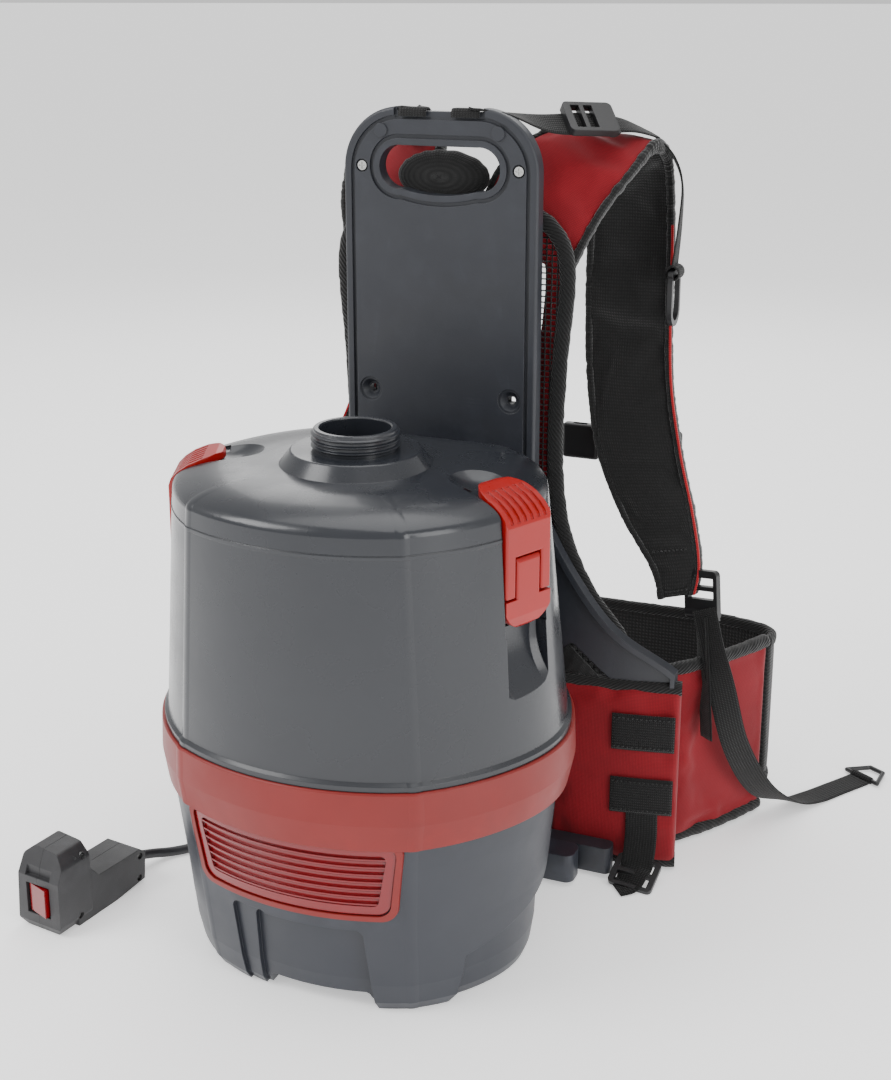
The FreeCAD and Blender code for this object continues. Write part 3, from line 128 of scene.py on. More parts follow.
def plastic(name, colour, roughness, grain=0.05, grain_scale=900, edge_highlight=1.5, coat=0.0, spread=0.08):
    """Moulded plastic: slight tone drift, uneven gloss, fine grain and a painted highlight that lightens
    convex edges.
    """
    material, tree, shader = new_material(name, Coat_Weight=coat, Coat_Roughness=0.12)
    place = add(tree, "TexCoord").outputs["Object"]
    drift = ramp(tree, noise_at(tree, place, 9), shaded(colour, 1 - spread), shaded(colour, 1 + spread))
    geometry = add(tree, "NewGeometry")
    # Painted highlight: convex edges, found by Pointiness and broken up by noise, are mixed towards a lighter
    # copy of the colour.
    edge_highlight_mask = ramp(tree, geometry.outputs["Pointiness"], 0.0, 1.0, 0.53, 0.62)
    broken = ramp(tree, noise_at(tree, place, 60), 0.0, 1.0, 0.45, 0.7)
    edge = math_node(tree, "MULTIPLY", edge_highlight_mask, broken)
    mix = add(tree, "Mix", {"Factor": edge, "A": drift, "B": (*shaded(colour, edge_highlight), 1)}, data_type="RGBA")
    tree.links.new(mix.outputs["Result"], shader.inputs["Base Color"])
    smears = noise_at(tree, place, 22, 6)
    tree.links.new(ramp(tree, smears, max(0.02, roughness - 0.06), roughness + 0.08, 0.35, 0.7),
                   shader.inputs["Roughness"])
    rounded = add(tree, "Bevel", {"Radius": 0.0009}, samples=4)
    fine = noise_at(tree, place, grain_scale, 2)
    bump = add(tree, "Bump", {"Strength": grain, "Distance": 0.0006, "Height": fine,
                              "Normal": rounded.outputs["Normal"]})
    tree.links.new(bump.outputs["Normal"], shader.inputs["Normal"])
    return material


WAVE_AT_UNIT_SCALE = 0.314  # period in metres of a wave texture whose scale is 1


def waves(tree, coordinates, period, direction):
    """Even ridges of the given period in metres."""
    scale = WAVE_AT_UNIT_SCALE / period
    return add(tree, "TexWave", {"Vector": coordinates, "Scale": scale, "Distortion": 0.0},
               bands_direction=direction).outputs["Fac"]


def cloth(name, colour, period=0.0014, depth=0.35, roughness=0.85, sheen=0.3, fuzz=0.12, uv=True,
          across=1.0, twill=False):
    """Woven or knitted fabric: crossed threads with height, painted shade in the gaps between them with
    lighter thread tops, and a little fluff.
    """
    material, tree, shader = new_material(name, Sheen_Weight=sheen, Sheen_Roughness=0.5,
                                          Roughness=roughness, Specular_IOR_Level=0.25)
    source = add(tree, "TexCoord")
    place = source.outputs["UV" if uv else "Object"]
    if twill:
        turn = add(tree, "Mapping", {"Vector": place, "Rotation": (0, 0, math.radians(35))})
        place = turn.outputs["Vector"]
    warp = waves(tree, place, period, "X")
    weft = waves(tree, place, period * across, "Y" if uv else "Z")
    weave = math_node(tree, "MULTIPLY", warp, weft) if not twill else warp
    soft = source.outputs["Object"]
    fluff = noise_at(tree, soft, 700, 3)
    height = math_node(tree, "ADD", weave, math_node(tree, "MULTIPLY", fluff, 0.5))
    # Painted shade: the weave's low places between threads are darkened and its high places lightened,
    # following the bump's heights.
    tone = ramp(tree, weave, shaded(colour, 0.62), shaded(colour, 1.12), 0.05, 0.8)
    cloudy = ramp(tree, noise_at(tree, soft, 18, 5), 1 - fuzz, 1 + fuzz)
    mix = add(tree, "Mix", {"Factor": 1.0, "A": tone, "B": cloudy}, data_type="RGBA", blend_type="MULTIPLY")
    tree.links.new(mix.outputs["Result"], shader.inputs["Base Color"])
    creases = noise_at(tree, soft, 45, 3)
    first = add(tree, "Bump", {"Strength": 0.25, "Distance": 0.002, "Height": creases})
    bump = add(tree, "Bump", {"Strength": depth, "Distance": 0.0007, "Height": height,
                              "Normal": first.outputs["Normal"]})
    tree.links.new(bump.outputs["Normal"], shader.inputs["Normal"])
    return material


def metal(name, colour, roughness):
    material, tree, shader = new_material(name, Metallic=1.0)
    place = add(tree, "TexCoord").outputs["Object"]
    tree.links.new(ramp(tree, noise_at(tree, place, 40), shaded(colour, 0.85), shaded(colour, 1.1)),
                   shader.inputs["Base Color"])
    tree.links.new(ramp(tree, noise_at(tree, place, 300), roughness - 0.08, roughness + 0.12),
                   shader.inputs["Roughness"])
    return material


# The edge factor given to these plastics sets how much lighter the painted edge highlight is.
HOUSING = plastic("housing_plastic", (0.016, 0.018, 0.023), 0.28, grain=0.02, edge_highlight=1.1, coat=0.2)
BASE = plastic("base_plastic", (0.024, 0.027, 0.036), 0.42, grain=0.06)
FRAME = plastic("frame_plastic", (0.018, 0.020, 0.026), 0.44, grain=0.12, grain_scale=700)
BAND = plastic("band_plastic", (0.20, 0.006, 0.003), 0.42, grain=0.05, edge_highlight=1.15)
LATCH = plastic("latch_plastic", (0.33, 0.004, 0.002), 0.32, grain=0.04, edge_highlight=1.15)
GRILLE = plastic("grille_plastic", (0.20, 0.001, 0.004), 0.20, grain=0.0, edge_highlight=1.1, coat=0.3)
BUCKLE = plastic("buckle_plastic", (0.012, 0.012, 0.013), 0.38, grain=0.12)
POD = plastic("pod_plastic", (0.026, 0.026, 0.028), 0.48, grain=0.22, grain_scale=1100)
CABLE = plastic("lead_sheath", (0.026, 0.026, 0.030), 0.50, grain=0.10)
RUBBER = plastic("rubber", (0.02, 0.02, 0.02), 0.65, grain=0.2)
BOARD = plastic("board_resin", (0.02, 0.12, 0.05), 0.35)
FILTER = cloth("filter_fleece", (0.72, 0.70, 0.66), period=0.003, uv=False)
STEEL = metal("plated_steel", (0.55, 0.55, 0.54), 0.28)
CORE = metal("laminated_core", (0.25, 0.24, 0.23), 0.5)
ALLOY = metal("cast_alloy", (0.62, 0.62, 0.62), 0.35)
RED = cloth("red_cloth", (0.27, 0.003, 0.010), period=0.0011, depth=0.22, sheen=0.12, roughness=0.72)
KNIT = cloth("black_knit", (0.010, 0.010, 0.010), period=0.0021, depth=0.5, sheen=0.35, across=1.3)
PLUSH = cloth("black_plush", (0.010, 0.010, 0.010), period=0.0030, depth=0.7, sheen=0.5, fuzz=0.3)
TWILL = cloth("black_binding", (0.013, 0.013, 0.013), period=0.0024, depth=0.8, sheen=0.2, twill=True)
WEBBING = cloth("black_webbing", (0.013, 0.013, 0.013), period=0.0022, depth=0.8, sheen=0.12, across=0.7)
THREAD = cloth("dark_thread", (0.012, 0.012, 0.012), period=0.0008, depth=0.5)
PIPING = cloth("red_piping", (0.50, 0.010, 0.016), period=0.0016, depth=0.4)
MESH = cloth("mesh_cord", (0.020, 0.020, 0.021), period=0.0010, depth=0.4, uv=False)

FINISH = {
    HOUSING: "filter_chamber lid hose_neck", BASE: "motor_base", FRAME: "back_plate hip_frame",
    BAND: "ring_band", GRILLE: "exhaust_grille rocker", POD: "pod_shell_outer pod_shell_inner",
    LATCH: "latch_hook_right latch_lever_right latch_hook_left latch_lever_left",
    BUCKLE: "ladder_locks triglides chest_buckle_socket chest_buckle_tongue oval_ring_right oval_ring_left "
            "triangle_ring_right triangle_ring_left switch_body filter_frame bag_collar motor_housing",
    STEEL: "hook_pin_right hook_pin_left latch_pins plate_screws frame_bolts rotor_shaft motor_bearings "
           "pod_screws",
    CABLE: "strain_reliefs", RUBBER: "lid_seal motor_mount", FILTER: "exhaust_filter dust_bag hepa_filter",
    CORE: "motor_stator", ALLOY: "impeller", BOARD: "control_board",
}
for finish, names in FINISH.items():
    for name in names.split():
        node = NODES[name]
        node.data.materials.clear()
        node.data.materials.append(finish)
        node.data.shade_smooth()
        node.data.set_sharp_from_angle(angle=math.radians(28))


# ---------------------------------------------------------------- building soft pieces

def smooth(points, steps=8):
    """Points on a smooth line through the given ones."""
    line = []
    for k in range(len(points) - 1):
        p0, p1 = points[max(k - 1, 0)], points[k]
        p2, p3 = points[k + 1], points[min(k + 2, len(points) - 1)]
        for j in range(steps):
            t = j / steps
            line.append(0.5 * (2 * p1 + (p2 - p0) * t + (2 * p0 - 5 * p1 + 4 * p2 - p3) * t ** 2
                               + (3 * p1 - p0 - 3 * p2 + p3) * t ** 3))
    return line + [points[-1].copy()]


def make(name, verts, faces, uvs, materials, picks=None):
    """Mesh object with one UV pair per face corner and one material pick per face."""
    data = bpy.data.meshes.new(name)
    data.from_pydata(verts, [], faces)
    layer = data.uv_layers.new(name="cut")
    for loop, pair in zip(layer.data, [pair for face in uvs for pair in face]):
        loop.uv = pair
    for material in materials:
        data.materials.append(material)
    if picks:
        for polygon, pick in zip(data.polygons, picks):
            polygon.material_index = pick
    data.shade_smooth()
    obj = bpy.data.objects.new(name, data)
    bpy.context.collection.objects.link(obj)
    return obj


def settle(obj, slot, *replaced, body="machine"):
    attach(obj, body)
    if replaced:
        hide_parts(*replaced)
    return obj


def lengths(line):
    total = [0.0]
    for a, b in zip(line, line[1:]):
        total.append(total[-1] + (b - a).length)
    return total


def pillow(name, surface, nu, nv, height, materials):
    """Padded panel. surface(i, j) is (point, normal, metres along u, metres along v) and height(u, v)
    is half its thickness. Materials are for its outer face, inner face and edge."""
    verts, faces, uvs, picks = [], [], [], []
    grid = [[surface(i, j) for j in range(nv + 1)] for i in range(nu + 1)]
    for side in (1, -1):
        for i in range(nu + 1):
            for j in range(nv + 1):
                point, normal, _, _ = grid[i][j]
                verts.append(point + normal * (side * height(i / nu, j / nv)))
    half = (nu + 1) * (nv + 1)

    def at(i, j, side):
        return i * (nv + 1) + j + (0 if side > 0 else half)

    def pair(i, j):
        return grid[i][j][2:]

    for i in range(nu):
        for j in range(nv):
            ring = [(i, j), (i + 1, j), (i + 1, j + 1), (i, j + 1)]
            for side, pick in ((1, 0), (-1, 1)):
                loop = ring if side > 0 else ring[::-1]
                faces.append([at(a, b, side) for a, b in loop])
                uvs.append([pair(a, b) for a, b in loop])
                picks.append(pick)
    border = ([(i, 0) for i in range(nu)] + [(nu, j) for j in range(nv)]
              + [(i, nv) for i in range(nu, 0, -1)] + [(0, j) for j in range(nv, 0, -1)])
    for a, b in zip(border, border[1:] + border[:1]):
        faces.append([at(*a, 1), at(*a, -1), at(*b, -1), at(*b, 1)])
        uvs.append([pair(*a), pair(*a), pair(*b), pair(*b)])
        picks.append(2)
    obj = make(name, verts, faces, uvs, materials, picks)
    obj["rim"] = [at(i, j, s) for i, j in border for s in (1, -1)]
    return obj


def soft_edge(s, sharp=8.0):
    return max(0.0, 1 - abs(2 * s - 1) ** sharp) ** 0.5


PUFF_STEPS = 18


def puff(obj, pressure, cap):
    """Inflates a padded piece with a short cloth simulation, held at its rim, and keeps the result. No point
    moves more than cap metres."""
    group = obj.vertex_groups.new(name="rim")
    group.add(list(obj["rim"]), 1.0, "REPLACE")
    start = [v.co.copy() for v in obj.data.vertices]
    cloth_sim = obj.modifiers.new("cloth", "CLOTH")
    sim = cloth_sim.settings
    sim.quality = 6
    sim.mass = 0.15
    sim.tension_stiffness = 25
    sim.compression_stiffness = 25
    sim.shear_stiffness = 10
    sim.bending_stiffness = 0.4
    sim.use_pressure = True
    sim.uniform_pressure_force = pressure
    sim.shrink_min = -0.03
    sim.effector_weights.gravity = 0
    sim.vertex_group_mass = "rim"
    cloth_sim.collision_settings.use_collision = False
    for step in range(1, PUFF_STEPS + 1):
        bpy.context.scene.frame_set(step)
    result = obj.evaluated_get(bpy.context.evaluated_depsgraph_get())
    ends = [v.co.copy() for v in result.data.vertices]
    obj.modifiers.remove(cloth_sim)
    bpy.context.scene.frame_set(1)
    for vertex, a, b in zip(obj.data.vertices, start, ends):
        move = b - a
        vertex.co = a + move * min(1.0, cap / max(move.length, 1e-9))
    obj.modifiers.new("round", "SUBSURF").render_levels = 1
    return obj


def roll(name, line, wide, thick, material, pucker=0.10, closed=False, seed=0.0):
    """Bound edge: a soft oval roll along (point, in-plane direction, normal) with small gathers."""
    verts, faces, uvs = [], [], []
    around = 14
    run = lengths([p for p, _, _ in line])
    for k, (point, outward, normal) in enumerate(line):
        gather = 1 + pucker * noise.noise(Vector((run[k] * 140, seed, 0)))
        gather += 0.5 * pucker * noise.noise(Vector((run[k] * 420, seed + 5, 0)))
        for j in range(around):
            angle = 2 * math.pi * j / around
            bulge = gather + 0.3 * pucker * noise.noise(Vector((run[k] * 260, j * 0.9, seed)))
            square = 1 / max(abs(math.cos(angle)), abs(math.sin(angle))) ** 0.35
            verts.append(point + (outward * (math.cos(angle) * wide) + normal * (math.sin(angle) * thick))
                         * (bulge * square))
    rings = len(line)
    around_length = math.pi * (wide + thick)
    for k in range(rings if closed else rings - 1):
        after = (k + 1) % rings
        for j in range(around):
            nxt = (j + 1) % around
            faces.append([k * around + j, k * around + nxt, after * around + nxt, after * around + j])
            length = run[k + 1] if k + 1 < rings else run[k] + 0.005
            c0, c1 = around_length * j / around, around_length * (j + 1) / around
            uvs.append([(c0, run[k]), (c1, run[k]), (c1, length), (c0, length)])
    if not closed:
        for k, order in ((0, 1), (rings - 1, -1)):
            faces.append([k * around + j for j in range(around)][::-order])
            uvs.append([(0.0, 0.0)] * around)
    return make(name, verts, faces, uvs, [material])


def strap(name, line, across, width, thick, material):
    """Flat webbing through points, with the direction across it at each."""
    verts, faces, uvs = [], [], []
    run = lengths(line)
    steps = 10
    section = [(-1 + 2 * j / steps, 1) for j in range(steps + 1)]
    section += [(1 - 2 * j / steps, -1) for j in range(steps + 1)]
    for k, point in enumerate(line):
        along = (line[min(k + 1, len(line) - 1)] - line[max(k - 1, 0)]).normalized()
        side = across[k] - along * across[k].dot(along)
        side.normalize()
        out = along.cross(side).normalized()
        for u, s in section:
            thin = 1 - 0.45 * abs(u) ** 10
            verts.append(point + side * (u * width / 2) + out * (s * thick / 2 * thin))
    count = len(section)
    for k in range(len(line) - 1):
        for j in range(count):
            nxt = (j + 1) % count
            faces.append([k * count + j, k * count + nxt, (k + 1) * count + nxt, (k + 1) * count + j])
            u0, u1 = section[j][0] * width / 2, section[nxt][0] * width / 2
            uvs.append([(u0, run[k]), (u1, run[k]), (u1, run[k + 1]), (u0, run[k + 1])])
    for k, order in ((0, 1), (len(line) - 1, -1)):
        faces.append([k * count + j for j in range(count)][::-order])
        uvs.append([(0.0, 0.0)] * count)
    return make(name, verts, faces, uvs, [material])


def even(points, spacing):
    """The same line with points at an even spacing."""
    run = lengths(points)
    count = max(2, round(run[-1] / spacing))
    out, k = [], 0
    for n in range(count + 1):
        want = run[-1] * n / count
        while k < len(points) - 2 and run[k + 1] < want:
            k += 1
        share = (want - run[k]) / max(run[k + 1] - run[k], 1e-9)
        out.append(points[k].lerp(points[k + 1], min(1.0, max(0.0, share))))
    return out


STITCH_PITCH, STITCH_LONG, STITCH_THICK = 0.0034, 0.0022, 0.0006


def stitches(name, line, up):
    """A row of separate thread stitches lying on a surface that faces up."""
    verts, faces, uvs = [], [], []
    spots = even(line, STITCH_PITCH)
    for k in range(len(spots) - 1):
        a, b = spots[k], spots[k + 1]
        along = (b - a).normalized()
        side = along.cross(up).normalized()
        middle = (a + b) / 2
        first = len(verts)
        for share, size in ((-0.5, 0.35), (-0.25, 1.0), (0.25, 1.0), (0.5, 0.35)):
            for turn in range(6):
                angle = turn * math.pi / 3
                around = side * math.cos(angle) + up * math.sin(angle)
                verts.append(middle + along * (share * STITCH_LONG) + around * (size * STITCH_THICK))
        for ring in range(3):
            for turn in range(6):
                a0, a1 = first + ring * 6 + turn, first + ring * 6 + (turn + 1) % 6
                faces.append([a0, a1, a1 + 6, a0 + 6])
                uvs.append([(0, 0), (0, 0.001), (0.001, 0.001), (0.001, 0)])
        for ring in (0, 3):
            faces.append([first + ring * 6 + turn for turn in range(6)])
            uvs.append([(0, 0)] * 6)
    return make(name, verts, faces, uvs, [THREAD])


def mirrored(obj, name):
    """Mirror image across the machine's middle plane."""
    data = obj.data.copy()
    for vertex in data.vertices:
        vertex.co.x = -vertex.co.x
    data.flip_normals()
    twin = bpy.data.objects.new(name, data)
    bpy.context.collection.objects.link(twin)
    for modifier in obj.modifiers:
        twin.modifiers.new(modifier.name, modifier.type).render_levels = 1
    return twin


FLARE_FROM = 80


def flare(x, reach, rise):
    """How far a piece has bent back at x, from FLARE_FROM off the middle outwards, in millimetres."""
    share = max(0.0, abs(x) - FLARE_FROM) / (reach - FLARE_FROM)
    return rise * share * share


# ---------------------------------------------------------------- shoulder straps

STRAP = [(V(18, 184, 500), V(88, 184, 468)), (V(28, 192, 538), V(108, 196, 512)),
         (V(48, 206, 563), V(128, 213, 544)), (V(70, 228, 571), V(140, 232, 562)),
         (V(80, 252, 556), V(144, 256, 548)), (V(80, 268, 500), V(144, 272, 500)),
         (V(78, 276, 430), V(143, 280, 430)), (V(80, 278, 370), V(146, 280, 370)),
         (V(92, 270, 312), V(158, 271, 316)), (V(118, 258, 262), V(174, 257, 270)),
         (V(148, 246, 224), V(184, 245, 233)), (V(156, 243, 200), V(182, 242, 208))]
SLUMP = [0, 8, 26, 38, 38, 32, 26, 22, 20, 10, 2, 0]


def shoulder_strap(side):
    if side == "right":
        pairs = STRAP
    else:
        pairs = [(Vector((s / 1000 - b.x, b.y, b.z)), Vector((s / 1000 - a.x, a.y, a.z)))
                 for (a, b), s in zip(STRAP, SLUMP)]
    first, second = smooth([a for a, _ in pairs], 9), smooth([b for _, b in pairs], 9)
    middle = [(a + b) / 2 for a, b in zip(first, second)]
    run = lengths(middle)
    count = len(first) - 1
    normals = []
    for k in range(count + 1):
        along = middle[min(k + 1, count)] - middle[max(k - 1, 0)]
        normals.append(along.cross(second[k] - first[k]).normalized())
    wide = 18

    def surface(i, j):
        across = (second[i] - first[i]).length
        return first[i].lerp(second[i], j / wide), normals[i], across * (j / wide - 0.5), run[i]

    def height(u, v):
        return 0.0052 * (0.42 + 0.58 * soft_edge(v, 3)) * (0.45 + 0.55 * soft_edge(u, 30))

    pad = pillow("shoulder_pad_" + side, surface, count, wide, height, [KNIT, RED, TWILL])
    puff(pad, pressure=3.5, cap=0.0035)
    settle(pad, FABRIC, "shoulder_strap_" + side)
    outer_sign = 1 if side == "right" else -1
    for edge, sign, seed in ((first, -1, 1.0), (second, 1, 9.0)):
        out = [(second[k] - first[k]).normalized() * sign for k in range(count + 1)]
        fine = smooth(edge, 6)
        outs = smooth(out, 6)
        faces = smooth(normals, 6)
        bound = roll(f"strap_binding_{side}_{'outer' if sign > 0 else 'inner'}",
                     list(zip(fine, outs, faces)), 0.0032, 0.0054, KNIT,
                     pucker=0.22, seed=seed)
        settle(bound, FABRIC)
        if sign != outer_sign:
            continue
        inset = [p + o * 0.0020 + n * 0.0050 for p, o, n in zip(fine, outs, faces)]
        start = len(fine) * 5 // 11
        inset, outs, faces = inset[start:], outs[start:], faces[start:]
        trim = roll(f"strap_piping_{side}_{'outer' if sign > 0 else 'inner'}",
                    list(zip(inset, outs, faces)), 0.0011, 0.0011, PIPING, pucker=0.1)
        settle(trim, FABRIC)
    # A cross row of stitches near the foot, where the webbing is sewn in.
    for k in (count - 3, count - 12):
        row = [first[k].lerp(second[k], s) + normals[k] * 0.006 for s in (0.15, 0.5, 0.85)]
        settle(stitches(f"strap_row_{side}_{k}", row, normals[k]), FABRIC)


slots = {part["node"]: part["material_slot"] for part in frame["record"]["subparts"]}
FABRIC, MESH_SLOT = slots["shoulder_strap_right"], slots["back_pad"]
WEB_SLOT = slots["load_webbing"]
shoulder_strap("right")
shoulder_strap("left")


# ---------------------------------------------------------------- back pad

PAD_REACH, PAD_RISE = 168, 20


def pad_outline(inset):
    right = [(60, 527), (88, 508), (98, 470), (93, 400), (91, 330), (98, 272), (118, 224), (144, 186),
             (160, 148), (162, 96), (146, 52)]
    curve = smooth([Vector((x - inset, 0, z - (inset if z > 500 else 0) + (inset if z < 60 else 0)))
                    for x, z in right], 8)
    return curve + [Vector((-p.x, 0, p.z)) for p in reversed(curve)]


def inside(outline, x, z):
    within = False
    for a, b in zip(outline, outline[1:] + outline[:1]):
        if (a.z > z) != (b.z > z) and x < a.x + (z - a.z) * (b.x - a.x) / (b.z - a.z):
            within = not within
    return within


def back_pad():
    """Open square mesh with a red edge strip behind it, bound all round."""
    pitch, border = 4.4, pad_outline(6)
    verts, faces, uvs, index = [], [], [], {}

    def corner(i, k):
        if (i, k) not in index:
            x, z = i * pitch, k * pitch
            index[i, k] = len(verts)
            sag = 1.4 * noise.noise(Vector((x * 0.018, 0, z * 0.018)))
            verts.append(V(x, 176 + flare(x, PAD_REACH, PAD_RISE) + sag, z))
        return index[i, k]

    for i in range(-38, 38):
        for k in range(11, 121):
            if all(inside(border, x * pitch, z * pitch) for x in (i, i + 1) for z in (k, k + 1)):
                faces.append([corner(i, k), corner(i + 1, k), corner(i + 1, k + 1), corner(i, k + 1)])
                uvs.append([(0, 0), (pitch / 1000, 0), (pitch / 1000, pitch / 1000), (0, pitch / 1000)])
    net = make("back_mesh", verts, faces, uvs, [MESH])
    threads = net.modifiers.new("threads", "WIREFRAME")
    threads.thickness = 0.0015
    threads.use_even_offset = False
    settle(net, MESH_SLOT, "back_pad")
    outer, inner = pad_outline(8), pad_outline(24)
    strip_verts = [V(p.x, 178.6 + flare(p.x, PAD_REACH, PAD_RISE), p.z) for p in outer + inner]
    count = len(outer)
    quads = [[k, (k + 1) % count, count + (k + 1) % count, count + k] for k in range(count)]
    flats = [[(strip_verts[v].x, strip_verts[v].z) for v in quad] for quad in quads]
    strip = make("pad_edge_strip", strip_verts, quads, flats, [RED])
    strip.modifiers.new("thick", "SOLIDIFY").thickness = 0.0012
    settle(strip, FABRIC)
    path = []
    centre = even([Vector((p.x, p.y, p.z)) for p in pad_outline(6.5) + pad_outline(6.5)[:1]], 2.6)[:-1]
    for k, p in enumerate(centre):
        along = (centre[(k + 1) % len(centre)] - centre[k - 1]).normalized()
        outward = Vector((along.z, 0, -along.x))
        path.append((V(p.x, 176.5 + flare(p.x, PAD_REACH, PAD_RISE), p.z), outward * -1, Vector((0, 1, 0))))
    settle(roll("pad_edge_binding", path, 0.0062, 0.0044, TWILL, pucker=0.10, closed=True), FABRIC,
           "pad_binding")


back_pad()


# ---------------------------------------------------------------- waist belt

BELT_REACH, BELT_RISE = 206, 18


def sleeve_mid(x):
    return 161 + flare(x, BELT_REACH, BELT_RISE)


def belt_sleeve():
    count, tall = 22, 30

    def surface(i, j):
        x, z = 93 + 99 * i / count, 4 + 153 * j / tall
        slope = 2 * BELT_RISE * max(0, x - FLARE_FROM) / (BELT_REACH - FLARE_FROM) ** 2
        return V(x, sleeve_mid(x), z), Vector((slope, -1, 0)).normalized(), x / 1000, z / 1000

    def height(u, v):
        return 0.0088 * (0.35 + 0.65 * soft_edge(v, 9)) * (0.8 + 0.2 * soft_edge(u, 6))

    pad = pillow("belt_sleeve_pad_right", surface, count, tall, height, [RED, PLUSH, RED])
    puff(pad, pressure=3, cap=0.0016)
    return pad


def edge_binding(name, points, outward, normal_of, wide, thick, pucker=0.12, seed=0.0):
    fine = even(smooth(points, 8), 0.0026)
    path = []
    for k, p in enumerate(fine):
        along = (fine[min(k + 1, len(fine) - 1)] - fine[max(k - 1, 0)]).normalized()
        path.append((p, outward, normal_of(along)))
    return roll(name, path, wide, thick, TWILL, pucker=pucker, seed=seed)


UP = Vector((0, 0, 1))


def plan_panel(name, line, low, high, half, materials, rows):
    """Upright padded band along a line seen from above."""
    fine = even(smooth([V(x, y, 0) for x, y in line], 10), 0.0055)
    run = lengths(fine)
    count = len(fine) - 1

    def surface(i, j):
        along = (fine[min(i + 1, count)] - fine[max(i - 1, 0)]).normalized()
        z = (low + (high - low) * j / rows) / 1000
        return fine[i] + UP * z, Vector((-along.y, along.x, 0)), run[i], z

    def height(u, v):
        return half * (0.4 + 0.6 * soft_edge(v, 8)) * (0.6 + 0.4 * soft_edge(u, 20))

    return pillow(name, surface, count, rows, height, materials), fine


HIP = [(160, 197), (180, 213), (203, 245), (220, 274), (231, 297)]
CLOSURE = [(232, 302), (233, 318), (218, 331), (170, 340), (110, 338), (0, 336), (-110, 338), (-170, 340),
           (-218, 331), (-233, 318), (-232, 302)]


def both_sides(obj, slot, *nodes, padded=None):
    """Settles a right-hand piece and its mirror image, each in place of its own side's nodes."""
    settle(obj, slot, *[n + "_right" for n in nodes])
    twin = mirrored(obj, obj.name.replace("right", "left"))
    settle(twin, slot, *[n + "_left" for n in nodes])


sleeve = belt_sleeve()
both_sides(sleeve, FABRIC, "belt_sleeve", padded=0.5)
hip, hip_line = plan_panel("hip_pad_right", HIP, 5, 156, 0.0048, [PLUSH, RED, TWILL], 28)
puff(hip, pressure=4, cap=0.003)
both_sides(hip, FABRIC, "hip_panel", padded=0.5)
closure, closure_line = plan_panel("belt_closure_band", CLOSURE, 23, 153, 0.0026, [PLUSH, KNIT, TWILL], 16)
settle(closure, FABRIC, "belt_closure")


def flat_normal(along):
    return Vector((-along.y, along.x, 0)).normalized()


sleeve_points = [V(x, sleeve_mid(x), 0) for x in range(93, 193, 9)]
for where, z, sign, thick in (("low", 6.5, -1, 0.0072), ("high", 154.5, 1, 0.0068)):
    bound = edge_binding(f"sleeve_binding_{where}_right", [p + UP * z / 1000 for p in sleeve_points],
                         UP * sign, flat_normal, 0.0055, thick, pucker=0.06, seed=z)
    both_sides(bound, FABRIC)
    bound = edge_binding(f"hip_binding_{where}_right", [p + UP * z / 1000 for p in hip_line], UP * sign,
                         flat_normal, 0.0052, 0.0055, pucker=0.10, seed=z + 2)
    both_sides(bound, FABRIC)
for where, z, sign in (("low", 25, -1), ("high", 151, 1)):
    bound = edge_binding(f"closure_binding_{where}", [p + UP * z / 1000 for p in closure_line], UP * sign,
                         flat_normal, 0.005, 0.0036, pucker=0.10, seed=z)
    settle(bound, FABRIC)

# Two stitched bands across the sleeve, the lower one with a webbing end and its buckle under it.
for where, low, high in (("upper", 105, 135), ("lower", 51, 81)):
    z = (low + high) / 2
    line = [V(x, sleeve_mid(x) - 12.4, z) for x in range(143, 195, 4)]
    band = strap(f"belt_band_{where}_right", line, [UP] * len(line), (high - low) / 1000, 0.0018, WEBBING)
    both_sides(band, WEB_SLOT)
    for edge in (low + 3, high - 3):
        row = [p + V(0, -1.1, edge - z) for p in line]
        both_sides(stitches(f"band_stitch_{where}_{edge}_right", row, Vector((0, -1, 0))), WEB_SLOT)


WEB_THICK = 0.0016


def webbing(name, points, directions, width, twin=True):
    line = smooth(points, 8)
    across = smooth([Vector(d).normalized() for d in directions], 8)
    piece = strap(name, line, across, width, WEB_THICK, WEBBING)
    if twin:
        both_sides(piece, WEB_SLOT)
    else:
        settle(piece, WEB_SLOT)
    return piece


face = 152 + flare(165, BELT_REACH, BELT_RISE)
BELT_TAIL = [V(168, face - 1.4, 80), V(168, face - 2.4, 50), V(168.5, face - 3.6, 34), V(169, 151.5, 22),
             V(169, 146, 12.5), V(168, 139, 8.5), V(166, 131, 3.2), V(158, 124, 1.6)]
webbing("belt_tail_right", BELT_TAIL,
        [(1, 0.19, 0)] * 5 + [(0.98, -0.1, 0.1), (0.8, -0.55, 0), (0.7, -0.7, 0)], 0.025)
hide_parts("belt_webbing")

LIFTER = {"right": [V(21, 153, 590.8), V(42, 162, 588.5), V(70, 184, 580), V(96.5, 206, 579),
                    V(118, 228, 577), V(136, 244, 569)],
          "left": [V(-21, 153, 590.8), V(-27, 164, 588), V(-35, 188, 578), V(-48, 208, 573),
                   V(-66, 230, 577), V(-80, 243, 573)]}
LIFTER_ACROSS = [(1, 0, 0), (0.9, -0.3, -0.1), (0.7, -0.4, -0.5), (0.72, -0.3, -0.6), (0.72, -0.5, -0.4),
                 (0.7, -0.65, -0.2)]
TAIL = {"right": [V(137, 244.6, 568), V(149, 250, 554), V(156, 254, 533), V(155, 256.5, 502),
                  V(152, 257, 470)],
        "left": [V(-81, 243, 573.5), V(-97, 247, 561), V(-115, 249, 540), V(-124, 254, 508),
                 V(-126, 257, 470)]}
TAIL_ACROSS = [(0.6, -0.75, -0.2), (0.45, -0.85, -0.15), (0.25, -0.95, 0), (0.1, -1, 0), (0, -1, 0)]
RING_AT = {"right": V(152, 257, 464), "left": V(-126, 257, 464)}


